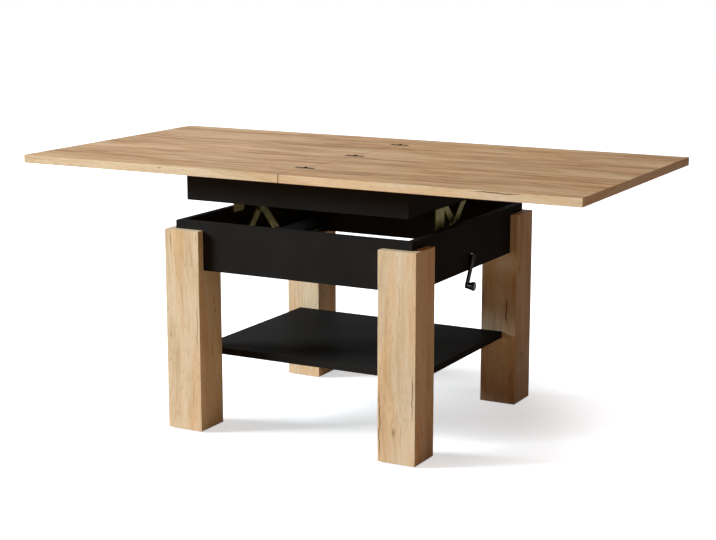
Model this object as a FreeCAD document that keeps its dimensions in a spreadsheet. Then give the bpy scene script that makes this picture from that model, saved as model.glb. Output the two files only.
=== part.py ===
import FreeCAD, Part
import math
import os
import re
import Sketcher

# Convertible coffee dining table. A crank turns a screw that lifts the top on scissor arms,
# one leaf folds over the other, and the folded pair slides to the middle of the base.
# X runs along the unfolded top towards the crank, Y from front to back, Z up from the floor.

# Driving lengths, in millimetres
LENGTHS = {
    # Leaves
    "leaf_length": 800,
    "leaf_width": 800,
    "leaf_thick": 22,
    "seam_gap": 0.6,
    "edge_round": 1,
    # Legs, apron box and shelf
    "base_side": 735,
    "leg_side": 105,
    "leg_wall": 22,
    "apron_bottom": 436,
    "apron_height": 128,
    "apron_wall": 18,
    "apron_rim": 22,
    "glide_height": 3,
    "glide_radius": 16,
    "shelf_length": 651,
    "shelf_thick": 18,
    "shelf_top": 210,
    # Upper frame
    "upper_play": 4,
    "upper_wall": 18,
    "upper_height": 75.7,
    "slide_gap": 0.3,
    # Scissor arms and their pins
    "arm_half": 128,
    "arm_width": 22,
    "arm_thick": 4,
    "arm_gap": 1,
    "arm_boss_radius": 16,
    "pivot_rise": 30,
    "pivot_drop": 45,
    "pin_radius": 6,
    "pin_play": 0.05,
    "pin_head_radius": 9,
    "pin_head_thick": 1.8,
    "pin_head_gap": 0.3,
    "slot_play": 0.3,
    # Rails that carry the arms
    "rail_gap": 2.5,
    "rail_thick": 3,
    "rail_margin": 14,
    "upper_rail_above": 35,
    "upper_rail_below": 20,
    "hanger_width": 49,
    "hanger_ahead": 37.5,
    "hanger_drop": 71,
    "hanger_hole_radius": 3,
    "hanger_hole_rise": 9,
    "hanger_hole_space": 12,
    "lower_rail_above": 16,
    "lower_rail_below": 20,
    "lower_rail_lip": 15,
    "bracket_long": 30,
    "bracket_height": 28,
    "bracket_rise": 5,
    # Cross bars, nut and screw
    "bar_side": 20,
    "front_bar_ahead": 195,
    "rear_bar_behind": 30,
    "nut_length": 24,
    "nut_width": 34,
    "nut_height": 28,
    "trunnion_radius": 7,
    "trunnion_sink": 5,
    "screw_radius": 8,
    "journal_radius": 5,
    # Mitre gears and crank shaft
    "gear_radius": 18,
    "gear_face": 8,
    "tooth_above": 1.6,
    "tooth_below": 1.9,
    "tooth_sink": 0.8,
    "hub_radius": 11,
    "hub_length": 8,
    "shaft_radius": 6,
    "shaft_start": 9,
    "bearing_place": 34,
    "bearing_long": 12,
    "bearing_side": 26,
    "bush_radius": 10,
    "bush_flange_radius": 14,
    "bush_flange_thick": 2,
    "shaft_hole_play": 1,
    # Crank
    "crank_length": 76,
    "crank_width": 15,
    "crank_thick": 5,
    "crank_stand": 2,
    "crank_hub_radius": 10,
    "knob_length": 20,
    "knob_root_radius": 8,
    "knob_end_radius": 13.5,
    "knob_round": 4,
    "knob_gap": 1,
    "knob_pin_radius": 3.5,
    "knob_pin_length": 13,
    # Guides and runners of the sliding leaf
    "guide_width": 18,
    "guide_height": 20,
    "guide_wall": 3,
    "guide_slot": 6,
    "guide_lip": 18,
    "guide_end_gap": 4,
    "runner_length": 205,
    "runner_head": 8,
    "runner_play": 0.3,
    "runner_flange": 26,
    "runner_thick": 3,
    "runner_fit": 0.1,
    # Hinges of the folding leaf
    "hinge_spread": 267,
    "hinge_length": 28,
    "hinge_width": 18,
    "hinge_thick": 2,
    "hinge_root": 3.6,
    "hinge_fit": 0.1,
    "hinge_rise": 0.3,
    "barrel_radius": 2,
    "barrel_pin_radius": 1,
    "knuckle_gap": 0.2,
    # Dowels and screws
    "dowel_radius": 4,
    "dowel_length": 40,
    "dowel_short": 30,
    "dowel_in_wall": 12,
    "dowel_play": 0.1,
    "leg_screw_length": 34,
    "leg_screw_radius": 2.5,
    "leg_screw_head": 5,
    "plate_screw_length": 15,
    "plate_screw_radius": 2,
    "plate_screw_head": 4,
    "plate_screw_cap": 2,
    "plate_screw_edge": 10,
    "runner_screw_length": 14,
    "runner_screw_radius": 1.5,
    "runner_screw_head": 3,
    "hinge_screw_length": 12,
    "hinge_screw_radius": 1.2,
    "hinge_screw_head": 2.4,
    "screw_play": 0.05,
    "overrun": 1,
}

# Driving angles, in degrees: the arms as drawn and at both ends of the lift
ANGLES = {
    "lift_angle": 45,
    "low_angle": 12.18,
    "high_angle": 58,
    "crank_lean_angle": 29,
    "flank_angle": 20,
}

COUNTS = {"gear_teeth_count": 16}

# Shares of the pieces that carry the fasteners
SHARES = {"tooth_share": 0.42}
SHELF_DOWEL_SHARES = (0.3, 0.7)
WALL_SHARES = (0.25, 0.75)
DOWEL_SHARES = (0.35, 0.65)
RAIL_SCREW_SHARES = (0.04, 0.35, 0.65, 0.96)
GUIDE_SCREW_SHARES = (0.05, 0.35, 0.65, 0.95)
RUNNER_SCREW_SHARES = (0.1, 0.5, 0.9)
BRACKET_SCREW_SHARES = (0.4, 0.8)
HINGE_SCREW_SHARES = (0.4, 0.8)
HINGE_ROW_SHARES = (-1, 0, 1)

# Places that follow from the driving lengths
PLACES = {
    "leg_out": "base_side / 2",
    "leg_in": "leg_out - leg_side",
    "apron_out": "leg_out - leg_wall",
    "apron_in": "apron_out - apron_wall",
    "apron_top": "apron_bottom + apron_height",
    "leg_top": "apron_top - apron_rim",
    "leg_long": "leg_top - glide_height",
    "leg_middle": "leg_in + leg_side / 2",
    "pocket_middle": "(leg_in + apron_out) / 2",
    "shelf_middle": "shelf_top - shelf_thick / 2",
    "shelf_seat": "shelf_length / 2 - leg_in",
    "upper_out": "apron_in - upper_play",
    "upper_in": "upper_out - upper_wall",
    "arm_long": "2 * arm_half",
    "pivot_height": "apron_bottom + pivot_rise",
    "pivot_top": "pivot_height + arm_long * sin(lift_angle)",
    "pivot_back": "arm_half * cos(lift_angle)",
    "cross_height": "pivot_height + arm_half * sin(lift_angle)",
    "slide_near": "arm_long * cos(high_angle) - pivot_back",
    "slide_far": "arm_long * cos(low_angle) - pivot_back",
    "leaf_bottom": "pivot_top + pivot_drop",
    "top_height": "leaf_bottom + leaf_thick",
    "upper_top": "leaf_bottom - slide_gap",
    "upper_bottom": "upper_top - upper_height",
    "upper_rail_in": "upper_in - rail_thick",
    "arm_b_out": "upper_rail_in - rail_gap",
    "arm_b_in": "arm_b_out - arm_thick",
    "arm_a_out": "arm_b_in - arm_gap",
    "arm_a_in": "arm_a_out - arm_thick",
    "lower_rail_out": "arm_a_in - rail_gap",
    "lower_rail_in": "lower_rail_out - rail_thick",
    "lower_rail_low": "pivot_height - lower_rail_below",
    "lower_rail_height": "lower_rail_below + lower_rail_above",
    "upper_rail_low": "pivot_top - upper_rail_below",
    "upper_rail_height": "upper_rail_below + upper_rail_above",
    "upper_rail_ahead": "slide_far + pin_radius + slot_play + rail_margin",
    "upper_rail_long": "upper_rail_ahead + pivot_back + pin_radius + rail_margin",
    "hanger_start": "upper_rail_ahead - pivot_back - hanger_ahead",
    "hanger_end": "hanger_start + hanger_width",
    "bracket_low": "lower_rail_low + bracket_rise",
    "bracket_foot": "apron_in - rail_thick",
    "bar_low": "pivot_height - bar_side / 2",
    "front_bar_back": "bar_side / 2 - front_bar_ahead",
    "rear_bar_front": "rear_bar_behind - bar_side / 2",
    "crank_face": "apron_out + bush_flange_thick + crank_stand",
    "knob_place": "crank_face + crank_thick + knob_gap",
    "guide_low": "upper_top - guide_height - guide_lip",
    "guide_middle": "upper_in - guide_width / 2",
    "runner_head_top": "upper_top - guide_wall - runner_play",
    "runner_neck_top": "runner_head + leaf_bottom - runner_head_top",
    "runner_far": "upper_in - rail_thick - runner_play",
    "hinge_axis": "top_height + hinge_rise",
    "hinge_floor": "top_height - hinge_thick",
    "knuckle": "hinge_width / 3",
}

SIZES = {**LENGTHS, **ANGLES, **COUNTS, **SHARES}
X_AXIS = FreeCAD.Vector(1, 0, 0)
Y_AXIS = FreeCAD.Vector(0, 1, 0)
Z_AXIS = FreeCAD.Vector(0, 0, 1)
QUARTER_TURN_ANGLE = 90
TURNS = {
    "+Z": FreeCAD.Rotation(),
    "+X": FreeCAD.Rotation(Y_AXIS, QUARTER_TURN_ANGLE),
    "-X": FreeCAD.Rotation(Y_AXIS, -QUARTER_TURN_ANGLE),
    "+Y": FreeCAD.Rotation(X_AXIS, -QUARTER_TURN_ANGLE),
    "-Y": FreeCAD.Rotation(X_AXIS, QUARTER_TURN_ANGLE),
    "-Z": FreeCAD.Rotation(X_AXIS, 2 * QUARTER_TURN_ANGLE),
}
SIDES = ("", "-")
ORIGIN_INDEX = (-1, 1)
HORIZONTAL_INDEX = -1
VERTICAL_INDEX = -2
START_INDEX = 1
END_INDEX = 2
CENTRE_INDEX = 3

doc = FreeCAD.newDocument("ConvertibleTable")
sheet = doc.addObject("Spreadsheet::Sheet", "Sizes")
nodes = []


# Sizes and expressions

def fill_sheet():
    """Writes each driving size as a plain number beside its name."""
    for row, (name, value) in enumerate(SIZES.items(), start=1):
        sheet.set(f"A{row}", name)
        sheet.set(f"B{row}", str(value))
        sheet.setAlias(f"B{row}", name)
    doc.recompute()


def cells(text):
    """The expression with every named size read from the sheet."""
    def spelled(match):
        word = match.group()
        if word in PLACES:
            return "(" + cells(PLACES[word]) + ")"
        if word in SIZES:
            return "Sizes." + word
        return word
    return re.sub(r"[a-z_]+", spelled, text)


def size(text):
    """The value of an expression of named sizes."""
    return float(sheet.evalExpression(cells(text)))


def bind(item, **sizes):
    for name, text in sizes.items():
        item.setExpression(name, cells(text))


def place(item, at, turn=FreeCAD.Rotation()):
    item.Placement = FreeCAD.Placement(FreeCAD.Vector(), turn)
    for axis, text in zip("xyz", at):
        item.setExpression(".Placement.Base." + axis, cells(text))


# Primitives and booleans

def box(name, sides, at):
    item = doc.addObject("Part::Box", name)
    length, width, height = sides
    bind(item, Length=length, Width=width, Height=height)
    place(item, at)
    return item


def cylinder(name, radius, length, at, way):
    item = doc.addObject("Part::Cylinder", name)
    bind(item, Radius=radius, Height=length)
    place(item, at, TURNS[way])
    return item


def cone(name, base_radius, top_radius, length, at, way):
    item = doc.addObject("Part::Cone", name)
    bind(item, Radius1=base_radius, Radius2=top_radius, Height=length)
    place(item, at, TURNS[way])
    return item


def group(name, items):
    item = doc.addObject("Part::Compound", name)
    item.Links = items
    return item


def fuse(name, items):
    item = doc.addObject("Part::MultiFuse", name)
    item.Shapes = items
    item.Refine = True
    return item


def cut(name, base, tools):
    item = doc.addObject("Part::Cut", name)
    item.Base = base
    item.Tool = tools[0] if len(tools) == 1 else group(name + "_tools", tools)
    return item


def mirror(name, source, normal):
    item = doc.addObject("Part::Mirroring", name)
    item.Source = source
    item.Normal = normal
    return item


def node(item):
    """Marks an object as a piece of the table, kept under its label."""
    nodes.append(item)
    return item


# Sketched bodies

def new_body(name):
    return doc.addObject("PartDesign::Body", name)


def new_sketch(body, role, name):
    sketch = body.newObject("Sketcher::SketchObject", name)
    plane = next(item for item in body.Origin.OriginFeatures if item.Role == role)
    sketch.AttachmentSupport = [(plane, "")]
    sketch.MapMode = "FlatFace"
    return sketch


def tie_point(sketch, edge, end, x, y):
    """Ties one point of a sketch to two sizes, measured from the sketch's origin."""
    for line, kind, text in ((VERTICAL_INDEX, "DistanceX", x), (HORIZONTAL_INDEX, "DistanceY", y)):
        if text == "0":
            sketch.addConstraint(Sketcher.Constraint("PointOnObject", edge, end, line))
        else:
            rule = Sketcher.Constraint(kind, *ORIGIN_INDEX, edge, end, size(text))
            index = sketch.addConstraint(rule)
            sketch.setExpression(f"Constraints[{index}]", cells(text))


def tie_radius(sketch, edge, radius):
    index = sketch.addConstraint(Sketcher.Constraint("Radius", edge, size(radius)))
    sketch.setExpression(f"Constraints[{index}]", cells(radius))


def point(x, y):
    return FreeCAD.Vector(size(x), size(y), 0)


def outline(sketch, corners):
    """A closed outline of straight sides through named corners."""
    first = sketch.GeometryCount
    count = len(corners)
    for corner, following in zip(corners, corners[1:] + corners[:1]):
        sketch.addGeometry(Part.LineSegment(point(*corner), point(*following)))
    for index in range(count):
        following = first + (index + 1) % count
        join = Sketcher.Constraint("Coincident", first + index, END_INDEX, following, START_INDEX)
        sketch.addConstraint(join)
    for index, corner in enumerate(corners):
        tie_point(sketch, first + index, START_INDEX, *corner)


def rectangle(sketch, low_x, low_y, high_x, high_y):
    outline(sketch, [(low_x, low_y), (high_x, low_y), (high_x, high_y), (low_x, high_y)])


def ring(sketch, x, y, radius):
    edge = sketch.addGeometry(Part.Circle(point(x, y), Z_AXIS, size(radius)))
    tie_radius(sketch, edge, radius)
    tie_point(sketch, edge, CENTRE_INDEX, x, y)


def oblong(sketch, start_x, end_x, y, radius):
    """A slot with round ends whose centres are named."""
    below, above = f"{y} - ({radius})", f"{y} + ({radius})"
    quarter = math.pi / 2
    right_end = Part.Circle(point(end_x, y), Z_AXIS, size(radius))
    left_end = Part.Circle(point(start_x, y), Z_AXIS, size(radius))
    edges = [
        sketch.addGeometry(Part.LineSegment(point(start_x, below), point(end_x, below))),
        sketch.addGeometry(Part.ArcOfCircle(right_end, -quarter, quarter)),
        sketch.addGeometry(Part.LineSegment(point(end_x, above), point(start_x, above))),
        sketch.addGeometry(Part.ArcOfCircle(left_end, quarter, 3 * quarter)),
    ]
    for edge, following in zip(edges, edges[1:] + edges[:1]):
        sketch.addConstraint(Sketcher.Constraint("Tangent", edge, END_INDEX, following, START_INDEX))
    sketch.addConstraint(Sketcher.Constraint("Horizontal", edges[0]))
    tie_radius(sketch, edges[1], radius)
    tie_point(sketch, edges[1], CENTRE_INDEX, end_x, y)
    tie_point(sketch, edges[3], CENTRE_INDEX, start_x, y)


def pad(body, sketch, length, backwards=False):
    feature = body.newObject("PartDesign::Pad", sketch.Name + "_pad")
    feature.Profile = sketch
    bind(feature, Length=length)
    feature.Reversed = backwards
    sketch.Visibility = False
    doc.recompute()
    return feature


def pocket(body, sketch, length=None, backwards=False):
    feature = body.newObject("PartDesign::Pocket", sketch.Name + "_pocket")
    feature.Profile = sketch
    if length is None:
        feature.Type = "ThroughAll"
    else:
        bind(feature, Length=length)
    feature.Reversed = backwards
    doc.recompute()
    return feature


def round_edges(body, feature, radius, wanted=lambda edge: True):
    """Rounds the edges of a feature that are wanted."""
    names = [f"Edge{index}" for index, edge in enumerate(feature.Shape.Edges, start=1) if wanted(edge)]
    item = body.newObject("PartDesign::Fillet", feature.Name + "_round")
    item.Base = (feature, names)
    bind(item, Radius=radius)
    doc.recompute()
    return item


# Fasteners

def flush_screw(kind):
    """Makes countersunk screws that start flush with a face; the play widens one to its hole."""
    def make(name, at, way, play):
        shank = f"{kind}_radius + {play}"
        head = f"{kind}_head + {play}"
        sink = f"({kind}_head - {kind}_radius)"
        parts = [
            cone(name + "_head", head, shank, sink, at, way),
            cylinder(name + "_shank", shank, f"{kind}_length + {play}", at, way),
        ]
        return fuse(name, parts)
    return make


def cap_screw(name, at, way, play):
    """A screw with a low round head that clamps a plate; the play widens it to its hole."""
    shank = cylinder(name + "_shank", f"plate_screw_radius + {play}", f"plate_screw_length + {play}", at, way)
    if play != "0":
        return shank
    back = {"+": "-", "-": "+"}[way[0]] + way[1]
    cap = cylinder(name + "_cap", "plate_screw_head", "plate_screw_cap", at, back)
    return fuse(name, [shank, cap])


def fastener_group(name, make, places):
    """The fasteners of one kind as a node, and the holes that they go into."""
    pieces = [make(f"{name}_{index}", *spot, "0") for index, spot in enumerate(places)]
    holes = [make(f"{name}_hole_{index}", *spot, "screw_play") for index, spot in enumerate(places)]
    node(group(name, pieces))
    return group(name + "_holes", holes)


def dowel_group(name, length, places):
    """Dowels as a node, and the holes that they go into."""
    pieces = []
    holes = []
    for index, (at, way) in enumerate(places):
        pieces.append(cylinder(f"{name}_{index}", "dowel_radius", length, at, way))
        holes.append(cylinder(f"{name}_hole_{index}", "dowel_radius + dowel_play", length, at, way))
    node(group(name, pieces))
    return group(name + "_holes", holes)


def along(start, length, share):
    return f"{start} + {share} * ({length})"


# Base: legs, apron box, shelf

def shelf_dowel_places():
    places = []
    for x_side in SIDES:
        for y_side in SIDES:
            for share in SHELF_DOWEL_SHARES:
                x = along("leg_in", "shelf_seat", share)
                at = (f"{x_side}({x})", f"{y_side}leg_in - dowel_length / 2", "shelf_middle")
                places.append((at, "+Y"))
    return places


def leg_screw_places():
    places = []
    for side in SIDES:
        for other in SIDES:
            for share in WALL_SHARES:
                height = along("apron_bottom", "leg_top - apron_bottom", share)
                outward = "-" if side else "+"
                places.append(((f"{side}apron_in", f"{other}pocket_middle", height), outward + "X"))
                places.append(((f"{other}pocket_middle", f"{side}apron_in", height), outward + "Y"))
    return places


def corner_dowel_places(face, middle, low, height):
    """Dowels that join the end panels of a box to its side panels."""
    places = []
    for side in SIDES:
        for other in SIDES:
            for share in DOWEL_SHARES:
                inward = "+" if side else "-"
                at = (f"{side}({face} + dowel_in_wall)", f"{other}({middle})", along(low, height, share))
                places.append((at, inward + "X"))
    return places


def bracket_screw_places():
    places = []
    for x_side in SIDES:
        for y_side in SIDES:
            for share in BRACKET_SCREW_SHARES:
                x = along("lower_rail_in", "-bracket_long", share)
                outward = "-Y" if y_side else "+Y"
                at = (f"{x_side}({x})", f"{y_side}bracket_foot", "bracket_low + bracket_height / 2")
                places.append((at, outward))
    return places


def leg_blank(holes):
    """The front leg on the crank side: a square post cut away inside its top."""
    leg = new_body("leg_post")
    plan = new_sketch(leg, "XY_Plane", "leg_plan")
    rectangle(plan, "0", "0", "leg_side", "leg_side")
    post = pad(leg, plan, "leg_long")
    round_edges(leg, post, "edge_round")
    notch = new_sketch(leg, "XY_Plane", "leg_notch")
    notch.setExpression(".AttachmentOffset.Base.z", cells("leg_long"))
    rectangle(notch, "-overrun", "leg_wall", "leg_side - leg_wall", "leg_side + overrun")
    pocket(leg, notch, "leg_top - apron_bottom")
    place(leg, ("leg_in", "-leg_out", "glide_height"))
    return cut("leg_front_right", leg, holes)


def legs(holes):
    front_right = node(leg_blank(holes))
    node(mirror("leg_front_left", front_right, X_AXIS))
    back_right = node(mirror("leg_back_right", front_right, Y_AXIS))
    node(mirror("leg_back_left", back_right, X_AXIS))


def foot_glides():
    glides = []
    for x_side in SIDES:
        for y_side in SIDES:
            at = (f"{x_side}leg_middle", f"{y_side}leg_middle", "0")
            glides.append(cylinder(f"glide_{len(glides)}", "glide_radius", "glide_height", at, "+Z"))
    node(group("foot_glides", glides))


def aprons(holes):
    side_panel = ("apron_wall", "2 * apron_out", "apron_height")
    end_panel = ("2 * apron_in", "apron_wall", "apron_height")
    right = box("apron_right_panel", side_panel, ("apron_in", "-apron_out", "apron_bottom"))
    left = box("apron_left_panel", side_panel, ("-apron_out", "-apron_out", "apron_bottom"))
    front = box("apron_front_panel", end_panel, ("-apron_in", "-apron_out", "apron_bottom"))
    back = box("apron_back_panel", end_panel, ("-apron_in", "apron_in", "apron_bottom"))
    bush_hole = cylinder("bush_hole", "bush_radius", "apron_wall + 2 * overrun",
                         ("apron_in - overrun", "0", "pivot_height"), "+X")
    node(cut("apron_right", right, holes + [bush_hole]))
    node(cut("apron_left", left, holes))
    node(cut("apron_front", front, holes))
    node(cut("apron_back", back, holes))


def shelf(holes):
    board = box("shelf_board", ("shelf_length", "2 * leg_in", "shelf_thick"),
                ("-shelf_length / 2", "-leg_in", "shelf_top - shelf_thick"))
    node(cut("shelf", board, holes))


def base():
    shelf_holes = dowel_group("shelf_dowels", "dowel_length", shelf_dowel_places())
    leg_holes = fastener_group("leg_screws", flush_screw("leg_screw"), leg_screw_places())
    corner = corner_dowel_places("apron_in", "apron_in + apron_wall / 2", "apron_bottom", "apron_height")
    corner_holes = dowel_group("apron_dowels", "dowel_short", corner)
    bracket_holes = fastener_group("bracket_screws", cap_screw, bracket_screw_places())
    legs([shelf_holes, leg_holes])
    foot_glides()
    aprons([leg_holes, corner_holes, bracket_holes])
    shelf([shelf_holes])
    lower_rails(bracket_holes)


# Lower half of the lift

def lower_rails(bracket_holes):
    """Angle-section rails with a slot for the nut in front and a bearing for the arms behind."""
    rail = new_body("lower_rail_right")
    section = new_sketch(rail, "XZ_Plane", "lower_rail_section")
    outline(section, [
        ("0", "0"),
        ("lower_rail_lip", "0"),
        ("lower_rail_lip", "lower_rail_height"),
        ("lower_rail_lip - rail_thick", "lower_rail_height"),
        ("lower_rail_lip - rail_thick", "rail_thick"),
        ("0", "rail_thick"),
    ])
    pad(rail, section, "2 * apron_in", backwards=True)
    openings = new_sketch(rail, "YZ_Plane", "lower_rail_openings")
    ring(openings, "apron_in + pivot_back", "lower_rail_below", "pin_radius + pin_play")
    ring(openings, "apron_in", "lower_rail_below", "shaft_radius + shaft_hole_play")
    oblong(openings, "apron_in - slide_far", "apron_in - slide_near", "lower_rail_below",
           "trunnion_radius + slot_play")
    pocket(rail, openings, backwards=True)
    place(rail, ("lower_rail_out - lower_rail_lip", "-apron_in", "lower_rail_low"))
    node(rail)
    node(mirror("lower_rail_left", rail, X_AXIS))
    rail_brackets(bracket_holes)


def rail_brackets(holes):
    """Angle brackets that tie the ends of the lower rails to the front and back aprons."""
    angle = new_body("bracket_angle")
    plan = new_sketch(angle, "XY_Plane", "bracket_plan")
    outline(plan, [
        ("0", "0"),
        ("bracket_long", "0"),
        ("bracket_long", "bracket_long"),
        ("bracket_long - rail_thick", "bracket_long"),
        ("bracket_long - rail_thick", "rail_thick"),
        ("0", "rail_thick"),
    ])
    pad(angle, plan, "bracket_height")
    place(angle, ("lower_rail_in - bracket_long", "-apron_in", "bracket_low"))
    front_right = cut("bracket_front_right", angle, [holes])
    front_left = mirror("bracket_front_left", front_right, X_AXIS)
    back_right = mirror("bracket_back_right", front_right, Y_AXIS)
    back_left = mirror("bracket_back_left", back_right, X_AXIS)
    node(group("rail_brackets", [front_right, front_left, back_right, back_left]))


def cross_bars():
    """Two bars between the lower rails that carry the ends of the screw."""
    sides = ("2 * lower_rail_in", "bar_side", "bar_side")
    for name, middle in (("front_cross_bar", "-front_bar_ahead"), ("rear_cross_bar", "rear_bar_behind")):
        bar = box(name + "_blank", sides, ("-lower_rail_in", f"{middle} - bar_side / 2", "bar_low"))
        bore = cylinder(name + "_bore", "journal_radius + pin_play", "bar_side + 2 * overrun",
                        ("0", f"{middle} - bar_side / 2 - overrun", "pivot_height"), "+Y")
        node(cut(name, bar, [bore]))


def lift_screw():
    journal_long = "rear_bar_front - front_bar_back + 2 * bar_side"
    spindle = cylinder("screw_spindle", "journal_radius", journal_long,
                       ("0", "front_bar_back - bar_side", "pivot_height"), "+Y")
    thread_start = "front_bar_back + pin_head_gap"
    thread = cylinder("screw_thread", "screw_radius", f"-gear_radius - hub_length - ({thread_start})",
                      ("0", thread_start, "pivot_height"), "+Y")
    node(fuse("lift_screw", [spindle, thread]))


def carriage():
    """Nut block on the screw, with a trunnion on each side that pulls the arms."""
    block = box("nut_blank", ("nut_width", "nut_length", "nut_height"),
                ("-nut_width / 2", "-pivot_back - nut_length / 2", "pivot_height - nut_height / 2"))
    bore = cylinder("nut_bore", "screw_radius + pin_play", "nut_length + 2 * overrun",
                    ("0", "-pivot_back - nut_length / 2 - overrun", "pivot_height"), "+Y")
    start = "nut_width / 2 - trunnion_sink"
    right = cylinder("trunnion_right", "trunnion_radius", f"arm_b_out + pin_head_gap - ({start})",
                     (start, "-pivot_back", "pivot_height"), "+X")
    cap = cylinder("trunnion_cap", "pin_head_radius", "pin_head_thick",
                   ("arm_b_out + pin_head_gap", "-pivot_back", "pivot_height"), "+X")
    right_half = fuse("trunnion_right_half", [right, cap])
    left_half = mirror("trunnion_left_half", right_half, X_AXIS)
    node(group("nut_trunnions", [right_half, left_half]))
    node(cut("nut_block", block, [bore, right_half, left_half]))


def mitre_gear(name, first_tooth_share, turn):
    """A straight-toothed mitre gear whose cone has its apex where the two shafts cross."""
    pitch = size("gear_radius")
    root = size("gear_radius - tooth_below")
    tip = size("gear_radius + tooth_above")
    sunk = size("gear_radius - tooth_below - tooth_sink")
    lean = math.tan(math.radians(size("flank_angle")))
    half_thick = math.pi * pitch * size("tooth_share") / size("gear_teeth_count")
    inner_scale = 1 - size("gear_face") / math.hypot(pitch, pitch)

    def tooth_end(scale):
        halves = [(radius, half_thick + (pitch - radius) * lean) for radius in (sunk, tip)]
        corners = [(radius, -half) for radius, half in halves]
        corners += [(radius, half) for radius, half in reversed(halves)]
        points = [FreeCAD.Vector(x, y, pitch) * scale for x, y in corners]
        return Part.makePolygon(points + points[:1])

    tooth = Part.makeLoft([tooth_end(inner_scale), tooth_end(1)], True, True)
    teeth = []
    for index in range(int(size("gear_teeth_count"))):
        copy = tooth.copy()
        angle = (index + first_tooth_share) * math.degrees(2 * math.pi) / size("gear_teeth_count")
        copy.rotate(FreeCAD.Vector(), Z_AXIS, angle)
        teeth.append(copy)
    inner_face = FreeCAD.Vector(0, 0, pitch * inner_scale)
    outer_face = FreeCAD.Vector(0, 0, pitch)
    blank = Part.makeCone(root * inner_scale, root, pitch * (1 - inner_scale), inner_face)
    hub = Part.makeCylinder(size("hub_radius"), size("hub_length"), outer_face)
    gear = doc.addObject("Part::Feature", name)
    gear.Shape = blank.fuse([hub] + teeth).removeSplitter()
    gear.Placement = FreeCAD.Placement(FreeCAD.Vector(0, 0, size("pivot_height")), turn)
    return gear


def gears():
    """The crank's gear faces right and the screw's forwards; a tooth of one meets a gap of the other."""
    rightwards = FreeCAD.Rotation(Y_AXIS, Z_AXIS, X_AXIS, "ZXY")
    forwards = FreeCAD.Rotation(X_AXIS, Z_AXIS, -Y_AXIS, "ZXY")
    crank_blank = mitre_gear("crank_gear_blank", 0, rightwards)
    screw_blank = mitre_gear("screw_gear_blank", 1 / 2, forwards)
    bore_long = "gear_radius + hub_length + overrun"
    shaft_bore = cylinder("crank_gear_bore", "shaft_radius", bore_long, ("0", "0", "pivot_height"), "+X")
    screw_bore = cylinder("screw_gear_bore", "journal_radius", bore_long, ("0", "0", "pivot_height"), "-Y")
    node(cut("crank_gear", crank_blank, [shaft_bore]))
    node(cut("screw_gear", screw_blank, [screw_bore]))


def crank_shaft():
    node(cylinder("crank_shaft", "shaft_radius", "crank_face + crank_thick - shaft_start",
                  ("shaft_start", "0", "pivot_height"), "+X"))


def shaft_supports():
    """A bearing block beside the gears and a flanged bush in the apron."""
    block = box("bearing_blank", ("bearing_long", "bearing_side / 2 + rear_bar_front", "bearing_side"),
                ("bearing_place", "-bearing_side / 2", "pivot_height - bearing_side / 2"))
    bore = cylinder("bearing_bore", "shaft_radius + pin_play", "bearing_long + 2 * overrun",
                    ("bearing_place - overrun", "0", "pivot_height"), "+X")
    node(cut("shaft_bearing", block, [bore]))
    sleeve = cylinder("bush_sleeve", "bush_radius", "apron_wall", ("apron_in", "0", "pivot_height"), "+X")
    flange = cylinder("bush_flange", "bush_flange_radius", "bush_flange_thick",
                      ("apron_out", "0", "pivot_height"), "+X")
    hole = cylinder("bush_bore", "shaft_radius + pin_play", "apron_wall + bush_flange_thick + 2 * overrun",
                    ("apron_in - overrun", "0", "pivot_height"), "+X")
    node(cut("crank_bush", fuse("bush_blank", [sleeve, flange]), [hole]))


# Crank

def crank():
    arm = new_body("crank_bar")
    plan = new_sketch(arm, "YZ_Plane", "crank_plan")
    oblong(plan, "0", "crank_length", "0", "crank_width / 2")
    pad(arm, plan, "crank_thick")
    lean = FreeCAD.Rotation(X_AXIS, 3 * QUARTER_TURN_ANGLE - size("crank_lean_angle"))
    place(arm, ("crank_face", "0", "pivot_height"), lean)
    hub = cylinder("crank_hub", "crank_hub_radius", "crank_stand + crank_thick - pin_head_gap",
                   ("crank_face - crank_stand + pin_head_gap", "0", "pivot_height"), "+X")
    bore = cylinder("crank_hub_bore", "shaft_radius", "crank_stand + crank_thick + 2 * overrun",
                    ("crank_face - crank_stand - overrun", "0", "pivot_height"), "+X")
    pin = cylinder("knob_pin", "knob_pin_radius", "crank_thick + knob_gap + knob_pin_length",
                   ("crank_face", "-crank_length * sin(crank_lean_angle)",
                    "pivot_height - crank_length * cos(crank_lean_angle)"), "+X")
    node(pin)
    node(cut("crank_arm", fuse("crank_arm_blank", [arm, hub]), [bore, pin]))
    crank_knob()


def crank_knob():
    """A turned knob that flares outwards and spins on its pin."""
    knob = new_body("crank_knob")
    profile = new_sketch(knob, "XY_Plane", "knob_profile")
    bore = "knob_pin_radius + pin_play"
    depth = "knob_pin_length + pin_head_gap"
    outline(profile, [
        ("0", bore),
        ("0", "knob_root_radius"),
        ("knob_length", "knob_end_radius"),
        ("knob_length", "0"),
        (depth, "0"),
        (depth, bore),
    ])
    turned = knob.newObject("PartDesign::Revolution", "knob_turning")
    turned.Profile = profile
    turned.ReferenceAxis = (profile, ["H_Axis"])
    doc.recompute()
    end_radius = size("knob_end_radius")

    def outer_rim(edge):
        return isinstance(edge.Curve, Part.Circle) and math.isclose(edge.Curve.Radius, end_radius)

    round_edges(knob, turned, "knob_round", outer_rim)
    place(knob, ("knob_place", "-crank_length * sin(crank_lean_angle)",
                 "pivot_height - crank_length * cos(crank_lean_angle)"))
    node(knob)


# Scissor arms

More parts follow.
